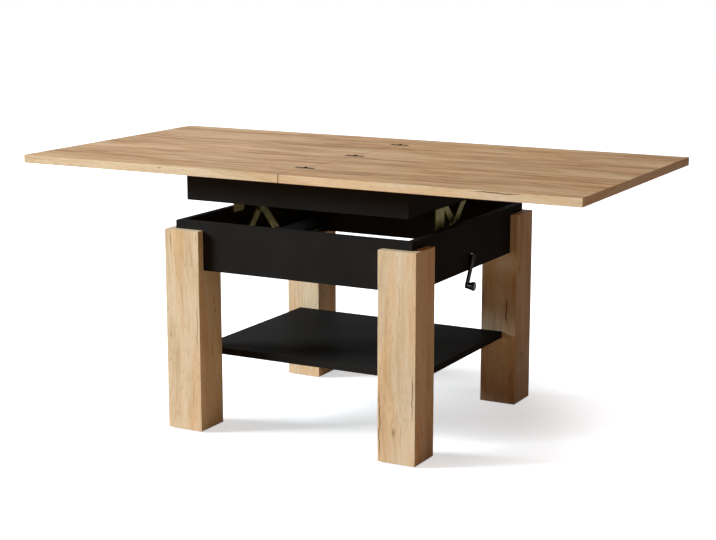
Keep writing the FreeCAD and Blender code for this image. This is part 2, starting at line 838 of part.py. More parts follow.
def arm(name, back_hole, middle_hole, front_hole):
    """A flat bar with round ends, a boss at its middle and three holes."""
    bar = new_body(name)
    plan = new_sketch(bar, "YZ_Plane", name + "_plan")
    oblong(plan, "0", "arm_long", "0", "arm_width / 2")
    pad(bar, plan, "arm_thick")
    boss = new_sketch(bar, "YZ_Plane", name + "_boss")
    ring(boss, "arm_half", "0", "arm_boss_radius")
    pad(bar, boss, "arm_thick")
    holes = new_sketch(bar, "YZ_Plane", name + "_holes")
    ring(holes, "0", "0", back_hole)
    ring(holes, "arm_half", "0", middle_hole)
    ring(holes, "arm_long", "0", front_hole)
    pocket(bar, holes, backwards=True)
    return node(bar)


def scissor_arms():
    """Arms A rise to the front and arms B fall to the front; each pair crosses at its middle."""
    forwards = 2 * QUARTER_TURN_ANGLE
    lift = size("lift_angle")
    rising = arm("arm_a_right", "pin_radius", "pin_radius", "pin_radius")
    place(rising, ("arm_a_in", "pivot_back", "pivot_height"), FreeCAD.Rotation(X_AXIS, forwards - lift))
    node(mirror("arm_a_left", rising, X_AXIS))
    pin_hole = "pin_radius + pin_play"
    falling = arm("arm_b_right", pin_hole, pin_hole, "trunnion_radius + pin_play")
    place(falling, ("arm_b_in", "pivot_back", "pivot_top"), FreeCAD.Rotation(X_AXIS, forwards + lift))
    node(mirror("arm_b_left", falling, X_AXIS))


def headed_pin(name, start, long, height, y, head_start, way="+X"):
    shank = cylinder(name + "_shank", "pin_radius", long, (start, y, height), way)
    head = cylinder(name + "_head", "pin_head_radius", "pin_head_thick", (head_start, y, height), way)
    return fuse(name, [shank, head])


def pair(name, right_piece):
    left_piece = mirror(name + "_left", right_piece, X_AXIS)
    return node(group(name, [right_piece, left_piece]))


def arm_pins():
    head_end = "lower_rail_in - pin_head_gap"
    bearing_pin = headed_pin("arm_a_pin_right", head_end, f"arm_a_out - ({head_end})",
                             "pivot_height", "pivot_back", f"{head_end} - pin_head_thick")
    pair("arm_a_shaft", bearing_pin)
    cross = headed_pin("cross_pin_right", "arm_a_in", "arm_b_out + pin_head_gap - arm_a_in",
                       "cross_height", "0", "arm_b_out + pin_head_gap")
    pair("cross_pins", cross)
    slot_pin = cylinder("slot_pin_right", "pin_radius", "upper_in - slot_play - arm_a_in",
                        ("arm_a_in", "-pivot_back", "pivot_top"), "+X")
    pair("slot_pins", slot_pin)
    pivot = headed_pin("upper_pivot_right", "arm_b_in - pin_head_gap", "upper_in - arm_b_in + pin_head_gap",
                       "pivot_top", "pivot_back", "arm_b_in - pin_head_gap - pin_head_thick")
    pair("upper_pivot_pins", pivot)


# Platform: upper frame, upper rails, guides

def upper_rail_screw_places():
    places = []
    for side in SIDES:
        for share in RAIL_SCREW_SHARES:
            outward = "-X" if side else "+X"
            y = along("-upper_rail_ahead", "upper_rail_long", share)
            at = (f"{side}upper_rail_in", y, "upper_rail_low + upper_rail_height - plate_screw_edge")
            places.append((at, outward))
    return places


def guide_screw_places():
    places = []
    for side in SIDES:
        for share in GUIDE_SCREW_SHARES:
            outward = "-Y" if side else "+Y"
            at = (along("-upper_in", "2 * upper_in", share), f"{side}(upper_in - guide_wall)",
                  "guide_low + guide_lip / 2")
            places.append((at, outward))
    return places


def upper_frame(holes):
    side_panel = ("upper_wall", "2 * upper_out", "upper_height")
    end_panel = ("2 * upper_in", "upper_wall", "upper_height")
    corners = {
        "upper_right": (side_panel, ("upper_in", "-upper_out", "upper_bottom")),
        "upper_left": (side_panel, ("-upper_out", "-upper_out", "upper_bottom")),
        "upper_front": (end_panel, ("-upper_in", "-upper_out", "upper_bottom")),
        "upper_back": (end_panel, ("-upper_in", "upper_in", "upper_bottom")),
    }
    for name, (sides, at) in corners.items():
        node(cut(name, box(name + "_panel", sides, at), holes))


def upper_rails(screw_holes):
    """Plates with a slot for the rising arms, a pivot behind it and a hanger below."""
    rail = new_body("upper_rail_plate")
    plan = new_sketch(rail, "YZ_Plane", "upper_rail_plan")
    outline(plan, [
        ("hanger_start", "0"),
        ("hanger_end", "0"),
        ("hanger_end", "hanger_drop"),
        ("upper_rail_long", "hanger_drop"),
        ("upper_rail_long", "hanger_drop + upper_rail_height"),
        ("0", "hanger_drop + upper_rail_height"),
        ("0", "hanger_drop"),
        ("hanger_start", "hanger_drop"),
    ])
    pad(rail, plan, "rail_thick")
    openings = new_sketch(rail, "YZ_Plane", "upper_rail_openings")
    pivot_line = "hanger_drop + upper_rail_below"
    ring(openings, "upper_rail_ahead + pivot_back", pivot_line, "pin_radius")
    oblong(openings, "upper_rail_ahead - slide_far", "upper_rail_ahead - slide_near", pivot_line,
           "pin_radius + slot_play")
    for way in SIDES:
        offset = f"{way}hanger_hole_space / 2" if way else "+ hanger_hole_space / 2"
        ring(openings, f"hanger_start + hanger_width / 2 {offset}", "hanger_hole_rise", "hanger_hole_radius")
    pocket(rail, openings, backwards=True)
    place(rail, ("upper_rail_in", "-upper_rail_ahead", "upper_rail_low - hanger_drop"))
    right = node(cut("upper_rail_right", rail, [screw_holes]))
    node(mirror("upper_rail_left", right, X_AXIS))


def guides(screw_holes):
    """Channels with a slot along the top, screwed to the front and back panels of the frame."""
    channel = new_body("guide_channel")
    section = new_sketch(channel, "YZ_Plane", "guide_section")
    top = "guide_lip + guide_height"
    roof = f"{top} - guide_wall"
    slot_near = "(guide_width - guide_slot) / 2"
    slot_far = "(guide_width + guide_slot) / 2"
    outline(section, [
        ("0", "0"),
        ("guide_wall", "0"),
        ("guide_wall", "guide_lip"),
        ("guide_width", "guide_lip"),
        ("guide_width", top),
        (slot_far, top),
        (slot_far, roof),
        ("guide_width - guide_wall", roof),
        ("guide_width - guide_wall", "guide_lip + guide_wall"),
        ("guide_wall", "guide_lip + guide_wall"),
        ("guide_wall", roof),
        (slot_near, roof),
        (slot_near, top),
        ("0", top),
    ])
    pad(channel, section, "2 * (upper_in - guide_end_gap)")
    place(channel, ("guide_end_gap - upper_in", "-upper_in", "guide_low"))
    front = node(cut("guide_front", channel, [screw_holes]))
    node(mirror("guide_back", front, Y_AXIS))


def platform():
    rail_holes = fastener_group("upper_rail_screws", cap_screw, upper_rail_screw_places())
    guide_holes = fastener_group("guide_screws", cap_screw, guide_screw_places())
    corner = corner_dowel_places("upper_in", "upper_in + upper_wall / 2", "upper_bottom", "upper_height")
    corner_holes = dowel_group("upper_dowels", "dowel_short", corner)
    upper_frame([rail_holes, guide_holes, corner_holes])
    upper_rails(rail_holes)
    guides(guide_holes)


# Top: leaves, runners, hinges

def runner_screw_places():
    places = []
    for side in SIDES:
        for edge in SIDES:
            for share in RUNNER_SCREW_SHARES:
                shift = f"{edge}runner_flange / 3" if edge else "+ runner_flange / 3"
                x = along("runner_far", "-runner_length", share)
                places.append(((x, f"{side}guide_middle {shift}", "leaf_bottom"), "+Z"))
    return places


def runner_blank():
    """The front runner: a T head in the guide, a neck in its slot and a flange let into the leaf."""
    runner = new_body("runner_front_blank")
    section = new_sketch(runner, "YZ_Plane", "runner_section")
    middle = "runner_flange / 2"
    head_half = "(guide_width / 2 - guide_wall - runner_play)"
    neck_half = "(guide_slot / 2 - runner_play)"
    outline(section, [
        (f"{middle} - {head_half}", "0"),
        (f"{middle} + {head_half}", "0"),
        (f"{middle} + {head_half}", "runner_head"),
        (f"{middle} + {neck_half}", "runner_head"),
        (f"{middle} + {neck_half}", "runner_neck_top"),
        ("runner_flange", "runner_neck_top"),
        ("runner_flange", "runner_neck_top + runner_thick"),
        ("0", "runner_neck_top + runner_thick"),
        ("0", "runner_neck_top"),
        (f"{middle} - {neck_half}", "runner_neck_top"),
        (f"{middle} - {neck_half}", "runner_head"),
        (f"{middle} - {head_half}", "runner_head"),
    ])
    pad(runner, section, "runner_length")
    place(runner, ("runner_far - runner_length", "-guide_middle - runner_flange / 2",
                   "runner_head_top - runner_head"))
    return runner


def hinge_screw_places(side):
    places = []
    for row in HINGE_ROW_SHARES:
        for share in HINGE_SCREW_SHARES:
            x = along("hinge_root", "hinge_length - hinge_root", share)
            places.append(((f"{side}({x})", f"{row} * hinge_spread", "top_height"), "-Z"))
    return places


def hinge_plate(name, side, row, knuckles):
    """One plate of a hinge with its knuckles; each knuckle is the share of the width where it starts."""
    middle = f"{row} * hinge_spread"
    low_y = f"{middle} - hinge_width / 2"
    flat_x = "-hinge_length" if side else "hinge_root"
    parts = [box(name + "_flat", ("hinge_length - hinge_root", "hinge_width", "hinge_thick"),
                 (flat_x, low_y, "hinge_floor"))]
    for index in knuckles:
        start = f"{low_y} + {index} * knuckle + knuckle_gap / 2"
        strap_x = "-hinge_root" if side else "0"
        strap = ("hinge_root", "knuckle - knuckle_gap", "hinge_thick - hinge_rise")
        parts.append(box(f"{name}_strap_{index}", strap, (strap_x, start, "hinge_floor + hinge_rise")))
        parts.append(cylinder(f"{name}_knuckle_{index}", "barrel_radius", "knuckle - knuckle_gap",
                              ("0", start, "hinge_axis"), "+Y"))
    bore = cylinder(name + "_bore", "barrel_pin_radius + pin_play", "hinge_width + 2 * overrun",
                    ("0", f"{low_y} - overrun", "hinge_axis"), "+Y")
    return cut(name, fuse(name + "_blank", parts), [bore])


def hinges():
    """Three flush hinges whose pins lie along the seam, and the recesses that hold them."""
    recesses = []
    flaps = []
    mains = []
    pins = []
    for index, row in enumerate(HINGE_ROW_SHARES):
        low_y = f"{row} * hinge_spread - hinge_width / 2"
        recess = ("2 * (hinge_length + hinge_fit)", "hinge_width + 2 * hinge_fit", "hinge_thick + overrun")
        recesses.append(box(f"hinge_recess_{index}", recess,
                            ("-hinge_length - hinge_fit", f"{low_y} - hinge_fit", "hinge_floor")))
        flaps.append(hinge_plate(f"flap_plate_{index}", "-", row, (0, 2)))
        mains.append(hinge_plate(f"main_plate_{index}", "", row, (1,)))
        pins.append(cylinder(f"hinge_pin_{index}", "barrel_pin_radius", "hinge_width",
                             ("0", low_y, "hinge_axis"), "+Y"))
    node(group("hinge_pins", pins))
    return group("hinge_recesses", recesses), group("flap_plates", flaps), group("main_plates", mains)


def leaf_blank():
    leaf = new_body("leaf_board")
    plan = new_sketch(leaf, "XY_Plane", "leaf_plan")
    rectangle(plan, "0", "0", "leaf_length", "leaf_width")
    board = pad(leaf, plan, "leaf_thick")
    round_edges(leaf, board, "edge_round")
    place(leaf, ("seam_gap / 2", "-leaf_width / 2", "leaf_bottom"))
    return leaf


def top():
    board = leaf_blank()
    flap_board = mirror("flap_board", board, X_AXIS)
    recesses, flap_plates, main_plates = hinges()
    main_holes = fastener_group("main_hinge_screws", flush_screw("hinge_screw"), hinge_screw_places(""))
    flap_holes = fastener_group("flap_hinge_screws", flush_screw("hinge_screw"), hinge_screw_places("-"))
    runner_holes = fastener_group("runner_screws", flush_screw("runner_screw"), runner_screw_places())
    runner = runner_blank()
    front = node(cut("runner_front", runner, [runner_holes]))
    node(mirror("runner_back", front, Y_AXIS))
    seat = box("runner_seat_front",
               ("runner_length + 2 * runner_fit", "runner_flange + 2 * runner_fit", "runner_thick + overrun"),
               ("runner_far - runner_length - runner_fit", "-guide_middle - runner_flange / 2 - runner_fit",
                "leaf_bottom - overrun"))
    other_seat = mirror("runner_seat_back", seat, Y_AXIS)
    node(cut("main_hinge_plates", main_plates, [main_holes]))
    node(cut("flap_hinge_plates", flap_plates, [flap_holes]))
    node(cut("main_leaf", board, [recesses, main_holes, runner_holes, seat, other_seat]))
    node(cut("flap_leaf", flap_board, [recesses, flap_holes]))


# Checks and files

def check():
    """Stops the build on a failed object, an empty shape or a pocket that cut nothing."""
    for item in doc.Objects:
        if "Invalid" in item.State or "Error" in item.State:
            raise RuntimeError(f"{item.Name} failed: {item.State}")
        if item.TypeId == "PartDesign::Pocket" and item.Shape.Volume >= item.BaseFeature.Shape.Volume:
            raise RuntimeError(f"{item.Name} cut nothing")
    for item in nodes:
        if item.Shape.isNull() or not item.Shape.isValid() or not item.Shape.Solids:
            raise RuntimeError(f"{item.Label} has no valid solid")


def write_parts():
    os.makedirs("parts", exist_ok=True)
    for item in nodes:
        item.Shape.exportStep(os.path.join("parts", item.Label + ".step"))
        print(item.Label, len(item.Shape.Solids), "solids")


fill_sheet()
base()
cross_bars()
lift_screw()
carriage()
gears()
crank_shaft()
shaft_supports()
crank()
scissor_arms()
arm_pins()
platform()
top()
doc.recompute()
check()
write_parts()
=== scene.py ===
# %% [markdown]
# # Dressing a convertible coffee dining table
# This table can stand low beside a sofa or high at a meal. A crank turns a screw, the screw draws a
# pair of steel scissors together, and the scissors raise the top. One leaf of the top folds over the
# other, and the folded pair slides to the middle. The engineering model already holds every board,
# arm, pin and gear at its real size, so this lesson starts from it and adds what an engineer leaves
# out: finishes, small drives and threads, light and a camera.

# %% Load the table
import math

import bmesh
import bpy
from mathutils import Matrix, Vector


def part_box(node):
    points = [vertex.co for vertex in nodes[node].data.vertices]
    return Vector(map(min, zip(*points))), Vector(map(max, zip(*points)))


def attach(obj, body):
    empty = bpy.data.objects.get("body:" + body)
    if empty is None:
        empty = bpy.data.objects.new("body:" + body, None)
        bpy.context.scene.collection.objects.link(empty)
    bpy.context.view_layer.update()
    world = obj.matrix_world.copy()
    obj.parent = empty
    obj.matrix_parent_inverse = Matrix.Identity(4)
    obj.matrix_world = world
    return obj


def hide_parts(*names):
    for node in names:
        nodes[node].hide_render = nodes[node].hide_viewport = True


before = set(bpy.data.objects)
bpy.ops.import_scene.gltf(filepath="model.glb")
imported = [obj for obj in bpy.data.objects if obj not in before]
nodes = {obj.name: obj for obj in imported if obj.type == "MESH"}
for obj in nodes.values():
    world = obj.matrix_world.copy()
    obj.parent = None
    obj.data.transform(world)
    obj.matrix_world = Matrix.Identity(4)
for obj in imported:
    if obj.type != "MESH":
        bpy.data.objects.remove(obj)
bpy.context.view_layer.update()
MILLIMETRE = 0.001

# %% [markdown]
# ## Where the photographer stood
# A camera is a place, a point to look at and a lens. The three were found by lining up the corners of
# the model with the corners of the table in the photograph. The photographer stood at chest height,
# well back from the front right corner, and used a long lens, which keeps the far end of the top from
# shrinking much. In the photograph the legs are exactly upright, because the lens was slid down
# instead of tilted. Blender's camera could copy that with its shift, but the shift would stay on in
# every other view and push the table out of the frame, so this camera is tilted a little instead.

# %% Camera
CAMERA_PLACE = Vector((2.0783, -3.8461, 1.2867))
CAMERA_AIM = Vector((0.0104, 0.0, 0.4019))
LENS = 82.27

lens = bpy.data.cameras.new("Camera")
lens.lens = LENS
camera = bpy.data.objects.new("Camera", lens)
camera.location = CAMERA_PLACE
camera.rotation_euler = (CAMERA_AIM - CAMERA_PLACE).to_track_quat("-Z", "Y").to_euler()
bpy.context.collection.objects.link(camera)
bpy.context.scene.camera = camera
bpy.context.scene.view_settings.view_transform = "Standard"
print("camera", round((CAMERA_AIM - CAMERA_PLACE).length, 2), "m from the point it looks at")

# %% [markdown]
# ## Short ways to write a node tree
# A procedural material is a small program drawn as boxes and wires. Written in Python, each box takes
# several lines, which hides the idea. These two helpers add one box per call: a value that is itself
# an output becomes a wire, and any other value is typed into the socket.

# %% Add a node
def feed(tree, socket, value):
    """Wires a socket to another node's output, or types a value into it."""
    if isinstance(value, bpy.types.NodeSocket):
        tree.links.new(value, socket)
    else:
        socket.default_value = value


def add(tree, kind, inputs=None, **menus):
    """Adds a node, sets its menus and fills its sockets by name or number."""
    item = tree.nodes.new("ShaderNode" + kind)
    for name, value in menus.items():
        setattr(item, name, value)
    for name, value in (inputs or {}).items():
        feed(tree, item.inputs[name], value)
    return item


print("a node is added by", add.__name__, "and filled by", feed.__name__)

# %% [markdown]
# ## Numbers, clouds and slopes
# Most of a finish is arithmetic on a few clouds. Noise stretched along one axis gives grain, streaks
# or mill lines. A map range with a smooth step then cuts out the part of the cloud that matters,
# softer than a hard threshold and without the kinks of a straight slope.

# %% Arithmetic and noise
def sums(tree, operation, *values):
    """One step of arithmetic on numbers."""
    item = add(tree, "Math", dict(enumerate(values)), operation=operation)
    return item.outputs[0]


def vector_sums(tree, operation, *values):
    """One step of arithmetic on vectors; a length comes back as a number."""
    item = add(tree, "VectorMath", dict(enumerate(values)), operation=operation)
    return item.outputs["Value" if operation == "LENGTH" else "Vector"]


def noise(tree, vector, stretch, detail=2.0, roughness=0.5):
    """Cloudy values from 0 to 1, with so many clouds per metre along each axis."""
    scaled = vector_sums(tree, "MULTIPLY", vector, stretch)
    clouds = add(tree, "TexNoise", {"Vector": scaled, "Scale": 1.0, "Detail": detail, "Roughness": roughness})
    return clouds.outputs["Fac"]


def spread(tree, value, low, high, to_low=0.0, to_high=1.0):
    """Stretches the values between low and high, with a soft start and end."""
    inputs = {"Value": value, "From Min": low, "From Max": high, "To Min": to_low, "To Max": to_high}
    return add(tree, "MapRange", inputs, interpolation_type="SMOOTHSTEP").outputs["Result"]


print("noise counts clouds per metre, so a finish keeps its scale on every piece")

# %% [markdown]
# ## Colours
# The Mix node has one set of sockets for each kind of value, so they are picked by number here. A ramp
# turns one value into a row of colours, which is how a wood or a tarnished metal gets its range.

# %% Blends and ramps
MIX_COLOURS = (6, 7, 2)
MIX_VECTORS = (4, 5, 1)


def blend_colours(tree, amount, first, second, way="MIX"):
    """A colour between two colours."""
    start, end, result = MIX_COLOURS
    item = add(tree, "Mix", {0: amount, start: first, end: second}, data_type="RGBA", blend_type=way)
    return item.outputs[result]


def blend_vectors(tree, amount, first, second):
    """A vector between two vectors."""
    start, end, result = MIX_VECTORS
    item = add(tree, "Mix", {0: amount, start: first, end: second}, data_type="VECTOR")
    return item.outputs[result]


def ramp(tree, value, stops):
    """Turns a value into a colour by way of a few stops."""
    item = add(tree, "ValToRGB", {"Fac": value})
    points = item.color_ramp.elements
    while len(points) < len(stops):
        points.new(0.5)
    for point, (place, colour) in zip(points, stops):
        point.position = place
        point.color = (*colour, 1.0)
    return item.outputs["Color"]


print("colours by number: Mix inputs", MIX_COLOURS[:2], "and output", MIX_COLOURS[2])

# %% [markdown]
# ## Groups and materials
# A finish that several pieces share is written once, as a node group with named sockets, and placed in
# each material with its own values. The shader itself stays in the material, where Blender's exporter
# can read it. Every material reads the surface's own place in metres, so nothing has to be unwrapped.

# %% Start a group or a material
def new_group(name, inputs, outputs):
    """An empty node group with named sockets; each kind is Float, Vector or Color."""
    tree = bpy.data.node_groups.new(name, "ShaderNodeTree")
    for way, sockets in (("INPUT", inputs), ("OUTPUT", outputs)):
        for label, kind in sockets.items():
            tree.interface.new_socket(label, in_out=way, socket_type="NodeSocket" + kind)
    return tree, tree.nodes.new("NodeGroupInput").outputs, tree.nodes.new("NodeGroupOutput").inputs


def use(tree, group, **inputs):
    """Places a node group in a tree and fills its inputs."""
    item = add(tree, "Group", node_tree=group)
    for label, value in inputs.items():
        feed(tree, item.inputs[label], value)
    return item.outputs


def new_material(name):
    """A material with its shader, and the surface's own place and direction."""
    material = bpy.data.materials.new(name)
    material.use_nodes = True
    tree = material.node_tree
    space = add(tree, "TexCoord").outputs
    return material, tree, tree.nodes["Principled BSDF"].inputs, space["Object"], space["Normal"]


def bump(tree, height, depth, strength):
    """A surface normal that shows a height as relief, with the depth in metres."""
    return add(tree, "Bump", {"Height": height, "Distance": depth, "Strength": strength}).outputs["Normal"]


print("groups and materials ready,", len(bpy.data.node_groups), "groups so far")

# %% [markdown]
# ## Oak-look board
# The leaves and legs are particle board under a printed oak decor. The printer's picture is of
# flat-sawn boards, so the growth rings show as long nested arches, with darker streaks, short dark
# pores and a few open cracks and knots. One picture could be wrapped round every board, but a
# procedural figure has no edges and never repeats. The decor turns a corner only along its grain, so
# the first group turns the grain on the ends of a board, where a maker irons on a strip.

# %% Grain that follows each board
FACES_AXIS = 0.7
grain_space, given, made = new_group(
    "Grain space", {"Position": "Vector", "Normal": "Vector"}, {"Vector": "Vector"})
place = add(grain_space, "SeparateXYZ", {0: given["Position"]}).outputs
facing = add(grain_space, "SeparateXYZ", {0: given["Normal"]}).outputs
is_end = sums(grain_space, "GREATER_THAN", sums(grain_space, "ABSOLUTE", facing["X"]), FACES_AXIS)
is_side = sums(grain_space, "GREATER_THAN", sums(grain_space, "ABSOLUTE", facing["Y"]), FACES_AXIS)
rolled = add(grain_space, "CombineXYZ", {"X": place["X"], "Y": place["Z"], "Z": place["Y"]}).outputs[0]
turned = add(grain_space, "CombineXYZ", {"X": place["Y"], "Y": place["Z"], "Z": place["X"]}).outputs[0]
on_sides = blend_vectors(grain_space, is_side, given["Position"], rolled)
feed(grain_space, made["Vector"], blend_vectors(grain_space, is_end, on_sides, turned))
print(grain_space.name, "turns the figure on the ends of a board")

# %% [markdown]
# ## A knot pushes the grain aside
# Wood grows round the foot of a branch, so the grain parts before a knot and closes behind it. The
# group moves the place where the figure is read, most at the knot's middle, and marks the dark heart.

# %% Knot group
KNOT_SQUEEZE = (0.4, 1.0, 1.0)
KNOT_PUSH = -0.62
KNOT_FADE = (3.2, 0.2)
KNOT_RAGGED = 0.5
RAGGED_CLOUDS = (90.0, 260.0, 260.0)
HEART_FADE = (1.3, 0.35)
knot_group, given, made = new_group(
    "Knot", {"Vector": "Vector", "Centre": "Vector", "Reach": "Float"},
    {"Vector": "Vector", "Heart": "Float"})
away = vector_sums(knot_group, "SUBTRACT", given["Vector"], given["Centre"])
flat = vector_sums(knot_group, "MULTIPLY", away, KNOT_SQUEEZE)
ragged = noise(knot_group, given["Vector"], RAGGED_CLOUDS, detail=3.0)
distance = sums(knot_group, "DIVIDE", vector_sums(knot_group, "LENGTH", flat), given["Reach"])
ragged_distance = sums(knot_group, "MULTIPLY_ADD", ragged, KNOT_RAGGED, distance)
push = sums(knot_group, "MULTIPLY", spread(knot_group, distance, *KNOT_FADE), KNOT_PUSH)
across = vector_sums(knot_group, "MULTIPLY", away, (0.0, 1.0, 1.0))
pushed = add(knot_group, "VectorMath", {0: across, "Scale": push}, operation="SCALE").outputs["Vector"]
feed(knot_group, made["Vector"], vector_sums(knot_group, "ADD", given["Vector"], pushed))
feed(knot_group, made["Heart"], spread(knot_group, ragged_distance, *HEART_FADE))
print(knot_group.name, "group with", len(knot_group.nodes), "nodes")

# %% [markdown]
# ## A drying crack
# A crack runs along the grain, thin, a little wavy, and narrower where the fibres still hold. It is a
# few millimetres wide at most, so cutting it into the mesh would take many faces for little. It is
# drawn in the figure instead and pressed a little into the surface.

# %% Crack group
CRACK_SWAY = 0.012
CRACK_WAVES = (22.0, 0.0, 0.0)
CRACK_HOLDS = (70.0, 0.0, 0.0)
HOLD_LIMITS = (0.34, 0.5, 0.45, 1.0)
CRACK_TAPER = (1.0, 0.3)
CRACK_LINE = (1.0, 0.35)
CRACK_LEAST_WIDTH = 0.00001
CRACK_FADE = (0.02, 0.015)
crack_group, given, made = new_group(
    "Crack", {"Vector": "Vector", "Centre": "Vector", "Half length": "Float", "Half width": "Float"},
    {"Mask": "Float"})
away = vector_sums(crack_group, "SUBTRACT", given["Vector"], given["Centre"])
parts = add(crack_group, "SeparateXYZ", {0: away}).outputs
wave = sums(crack_group, "SUBTRACT", noise(crack_group, given["Vector"], CRACK_WAVES, detail=1.0), 0.5)
across = sums(crack_group, "ABSOLUTE", sums(crack_group, "MULTIPLY_ADD", wave, CRACK_SWAY, parts["Y"]))
length_share = sums(crack_group, "DIVIDE", sums(crack_group, "ABSOLUTE", parts["X"]), given["Half length"])
taper = spread(crack_group, length_share, *CRACK_TAPER)
holds = spread(crack_group, noise(crack_group, given["Vector"], CRACK_HOLDS), *HOLD_LIMITS)
width = sums(crack_group, "MULTIPLY", sums(crack_group, "MULTIPLY", given["Half width"], taper), holds)
width = sums(crack_group, "ADD", width, CRACK_LEAST_WIDTH)
line = spread(crack_group, sums(crack_group, "DIVIDE", across, width), *CRACK_LINE)
depth = spread(crack_group, sums(crack_group, "ABSOLUTE", parts["Z"]), *CRACK_FADE)
line = sums(crack_group, "MULTIPLY", line, taper)
feed(crack_group, made["Mask"], sums(crack_group, "MULTIPLY", line, depth))
print(crack_group.name, "group with", len(crack_group.nodes), "nodes")

# %% [markdown]
# ## The rings
# A flat-sawn board is a slice beside the heart of the trunk. The distance from a wandering heart line
# gives the rings, and where the slice dips nearer to the heart they close into arches. A ping-pong
# fold repeats the heart line every few hands, as if several boards lay side by side, without a joint.

# %% Oak rings
RING_SPACE = 0.0075
RING_RIPPLE = 0.004
RIPPLE_CLOUDS = (6.0, 60.0, 60.0)
HEART_SPACE = 0.105
HEART_WANDER = 0.16
WANDER_CLOUDS = (1.1, 3.0, 3.0)
HEART_DIP = 0.09
DIP_CLOUDS = (1.6, 1.2, 1.2)
GRAIN_SWAY = 0.045
SWAY_CLOUDS = (3.0, 7.0, 7.0)
EARLY_WOOD = (0.75, 0.2)
LATE_WOOD = (0.25, 0.85)
RING_END = (1.0, 0.88)
oak_figure, given, made = new_group(
    "Oak figure", {"Vector": "Vector", "Shift": "Vector"},
    {"Tone": "Float", "Blush": "Float", "Streaks": "Float", "Pores": "Float", "Height": "Float"})
where = vector_sums(oak_figure, "ADD", given["Vector"], given["Shift"])
sway = sums(oak_figure, "SUBTRACT", noise(oak_figure, where, SWAY_CLOUDS), 0.5)
sway = add(oak_figure, "CombineXYZ", {"Y": sums(oak_figure, "MULTIPLY", sway, GRAIN_SWAY)}).outputs[0]
where = vector_sums(oak_figure, "ADD", where, sway)
axes = add(oak_figure, "SeparateXYZ", {0: where}).outputs
across = sums(oak_figure, "ADD", axes["Y"], axes["Z"])
wander = noise(oak_figure, where, WANDER_CLOUDS, detail=3.0)
heart_way = sums(oak_figure, "MULTIPLY_ADD", wander, HEART_WANDER, across)
aside = sums(oak_figure, "PINGPONG", heart_way, HEART_SPACE)
dip = sums(oak_figure, "MULTIPLY", noise(oak_figure, where, DIP_CLOUDS), HEART_DIP)
squares = [sums(oak_figure, "POWER", side, 2.0) for side in (aside, dip)]
radius = sums(oak_figure, "SQRT", sums(oak_figure, "ADD", *squares))
ripple = sums(oak_figure, "MULTIPLY", noise(oak_figure, where, RIPPLE_CLOUDS, detail=3.0), RING_RIPPLE)
rings_out = sums(oak_figure, "DIVIDE", sums(oak_figure, "ADD", radius, ripple), RING_SPACE)
ring = sums(oak_figure, "FRACT", rings_out)
ring_end = spread(oak_figure, ring, *RING_END)
late_wood = sums(oak_figure, "MULTIPLY", spread(oak_figure, ring, *LATE_WOOD), ring_end)
early_wood = spread(oak_figure, ring, *EARLY_WOOD)
print("oak rings", RING_SPACE / MILLIMETRE, "mm apart, heart lines", HEART_SPACE / MILLIMETRE, "mm")

# %% [markdown]
# ## Bands, streaks and pores
# Bands are clouds drawn out along the grain, four of them from broad to hair-fine, and added in shares
# that make one. Some bands have a rose tint and some short streaks are dark. Pores are the same idea
# again, much finer and cut off sharply, and they open only in the early wood of each ring. The relief
# is those pores in a field of fine fibres.

# %% Oak bands
RING_SHARE = -0.18
TONE_BASE = 0.06
# Each band has a share, clouds per metre, detail, roughness and the limits that are stretched.
BANDS = (
    (0.29, (1.6, 11.0, 11.0), 3.0, 0.55, (0.3, 0.7)),
    (0.33, (4.0, 36.0, 36.0), 3.0, 0.55, (0.32, 0.68)),
    (0.18, (8.0, 110.0, 110.0), 3.0, 0.6, (0.25, 0.75)),
    (0.20, (15.0, 250.0, 250.0), 2.0, 0.6, (0.28, 0.72)),
)
tone = sums(oak_figure, "MULTIPLY_ADD", late_wood, RING_SHARE, TONE_BASE)
for share, stretch, detail, roughness, limits in BANDS:
    band = spread(oak_figure, noise(oak_figure, where, stretch, detail, roughness), *limits)
    tone = sums(oak_figure, "MULTIPLY_ADD", band, share, tone)
feed(oak_figure, made["Tone"], tone)
print(len(BANDS), "bands, the broadest with a share of", BANDS[0][0])

# %% Oak tints, pores and relief
ELSEWHERE = (3.7, 1.9, 5.3)
MASKS = {"Blush": ((3.2, 26.0, 26.0), 2.0, (0.42, 0.68)),
         "Streaks": ((7.0, 75.0, 75.0), 3.0, (0.64, 0.76))}
DASHES = (42.0, 1100.0, 1100.0)
DASH_LIMITS = (0.60, 0.70)
PORE_DEPTH = -0.8
FIBRES = (18.0, 900.0, 900.0)
FIBRE_HEIGHT = 0.5
elsewhere = vector_sums(oak_figure, "ADD", where, ELSEWHERE)
for label, (stretch, detail, limits) in MASKS.items():
    feed(oak_figure, made[label], spread(oak_figure, noise(oak_figure, elsewhere, stretch, detail), *limits))
dashes = spread(oak_figure, noise(oak_figure, where, DASHES, detail=1.0), *DASH_LIMITS)
pores = sums(oak_figure, "MULTIPLY", dashes, early_wood)
feed(oak_figure, made["Pores"], pores)
fibre = sums(oak_figure, "MULTIPLY", noise(oak_figure, where, FIBRES), FIBRE_HEIGHT)
feed(oak_figure, made["Height"], sums(oak_figure, "MULTIPLY_ADD", pores, PORE_DEPTH, fibre))
print(oak_figure.name, "with", len(oak_figure.nodes), "nodes")

# %% [markdown]
# ## Leaves and legs in oak
# Both use the same figure with other numbers. The leaves are the warmer ones and carry the grain along
# the table, with a paler strip on their edges. The legs carry it upwards, so their place is turned
# before the figure is read. Each leg reads the figure somewhere else, so that no two match, while the
# two leaves share it, because they were cut from one printed board.

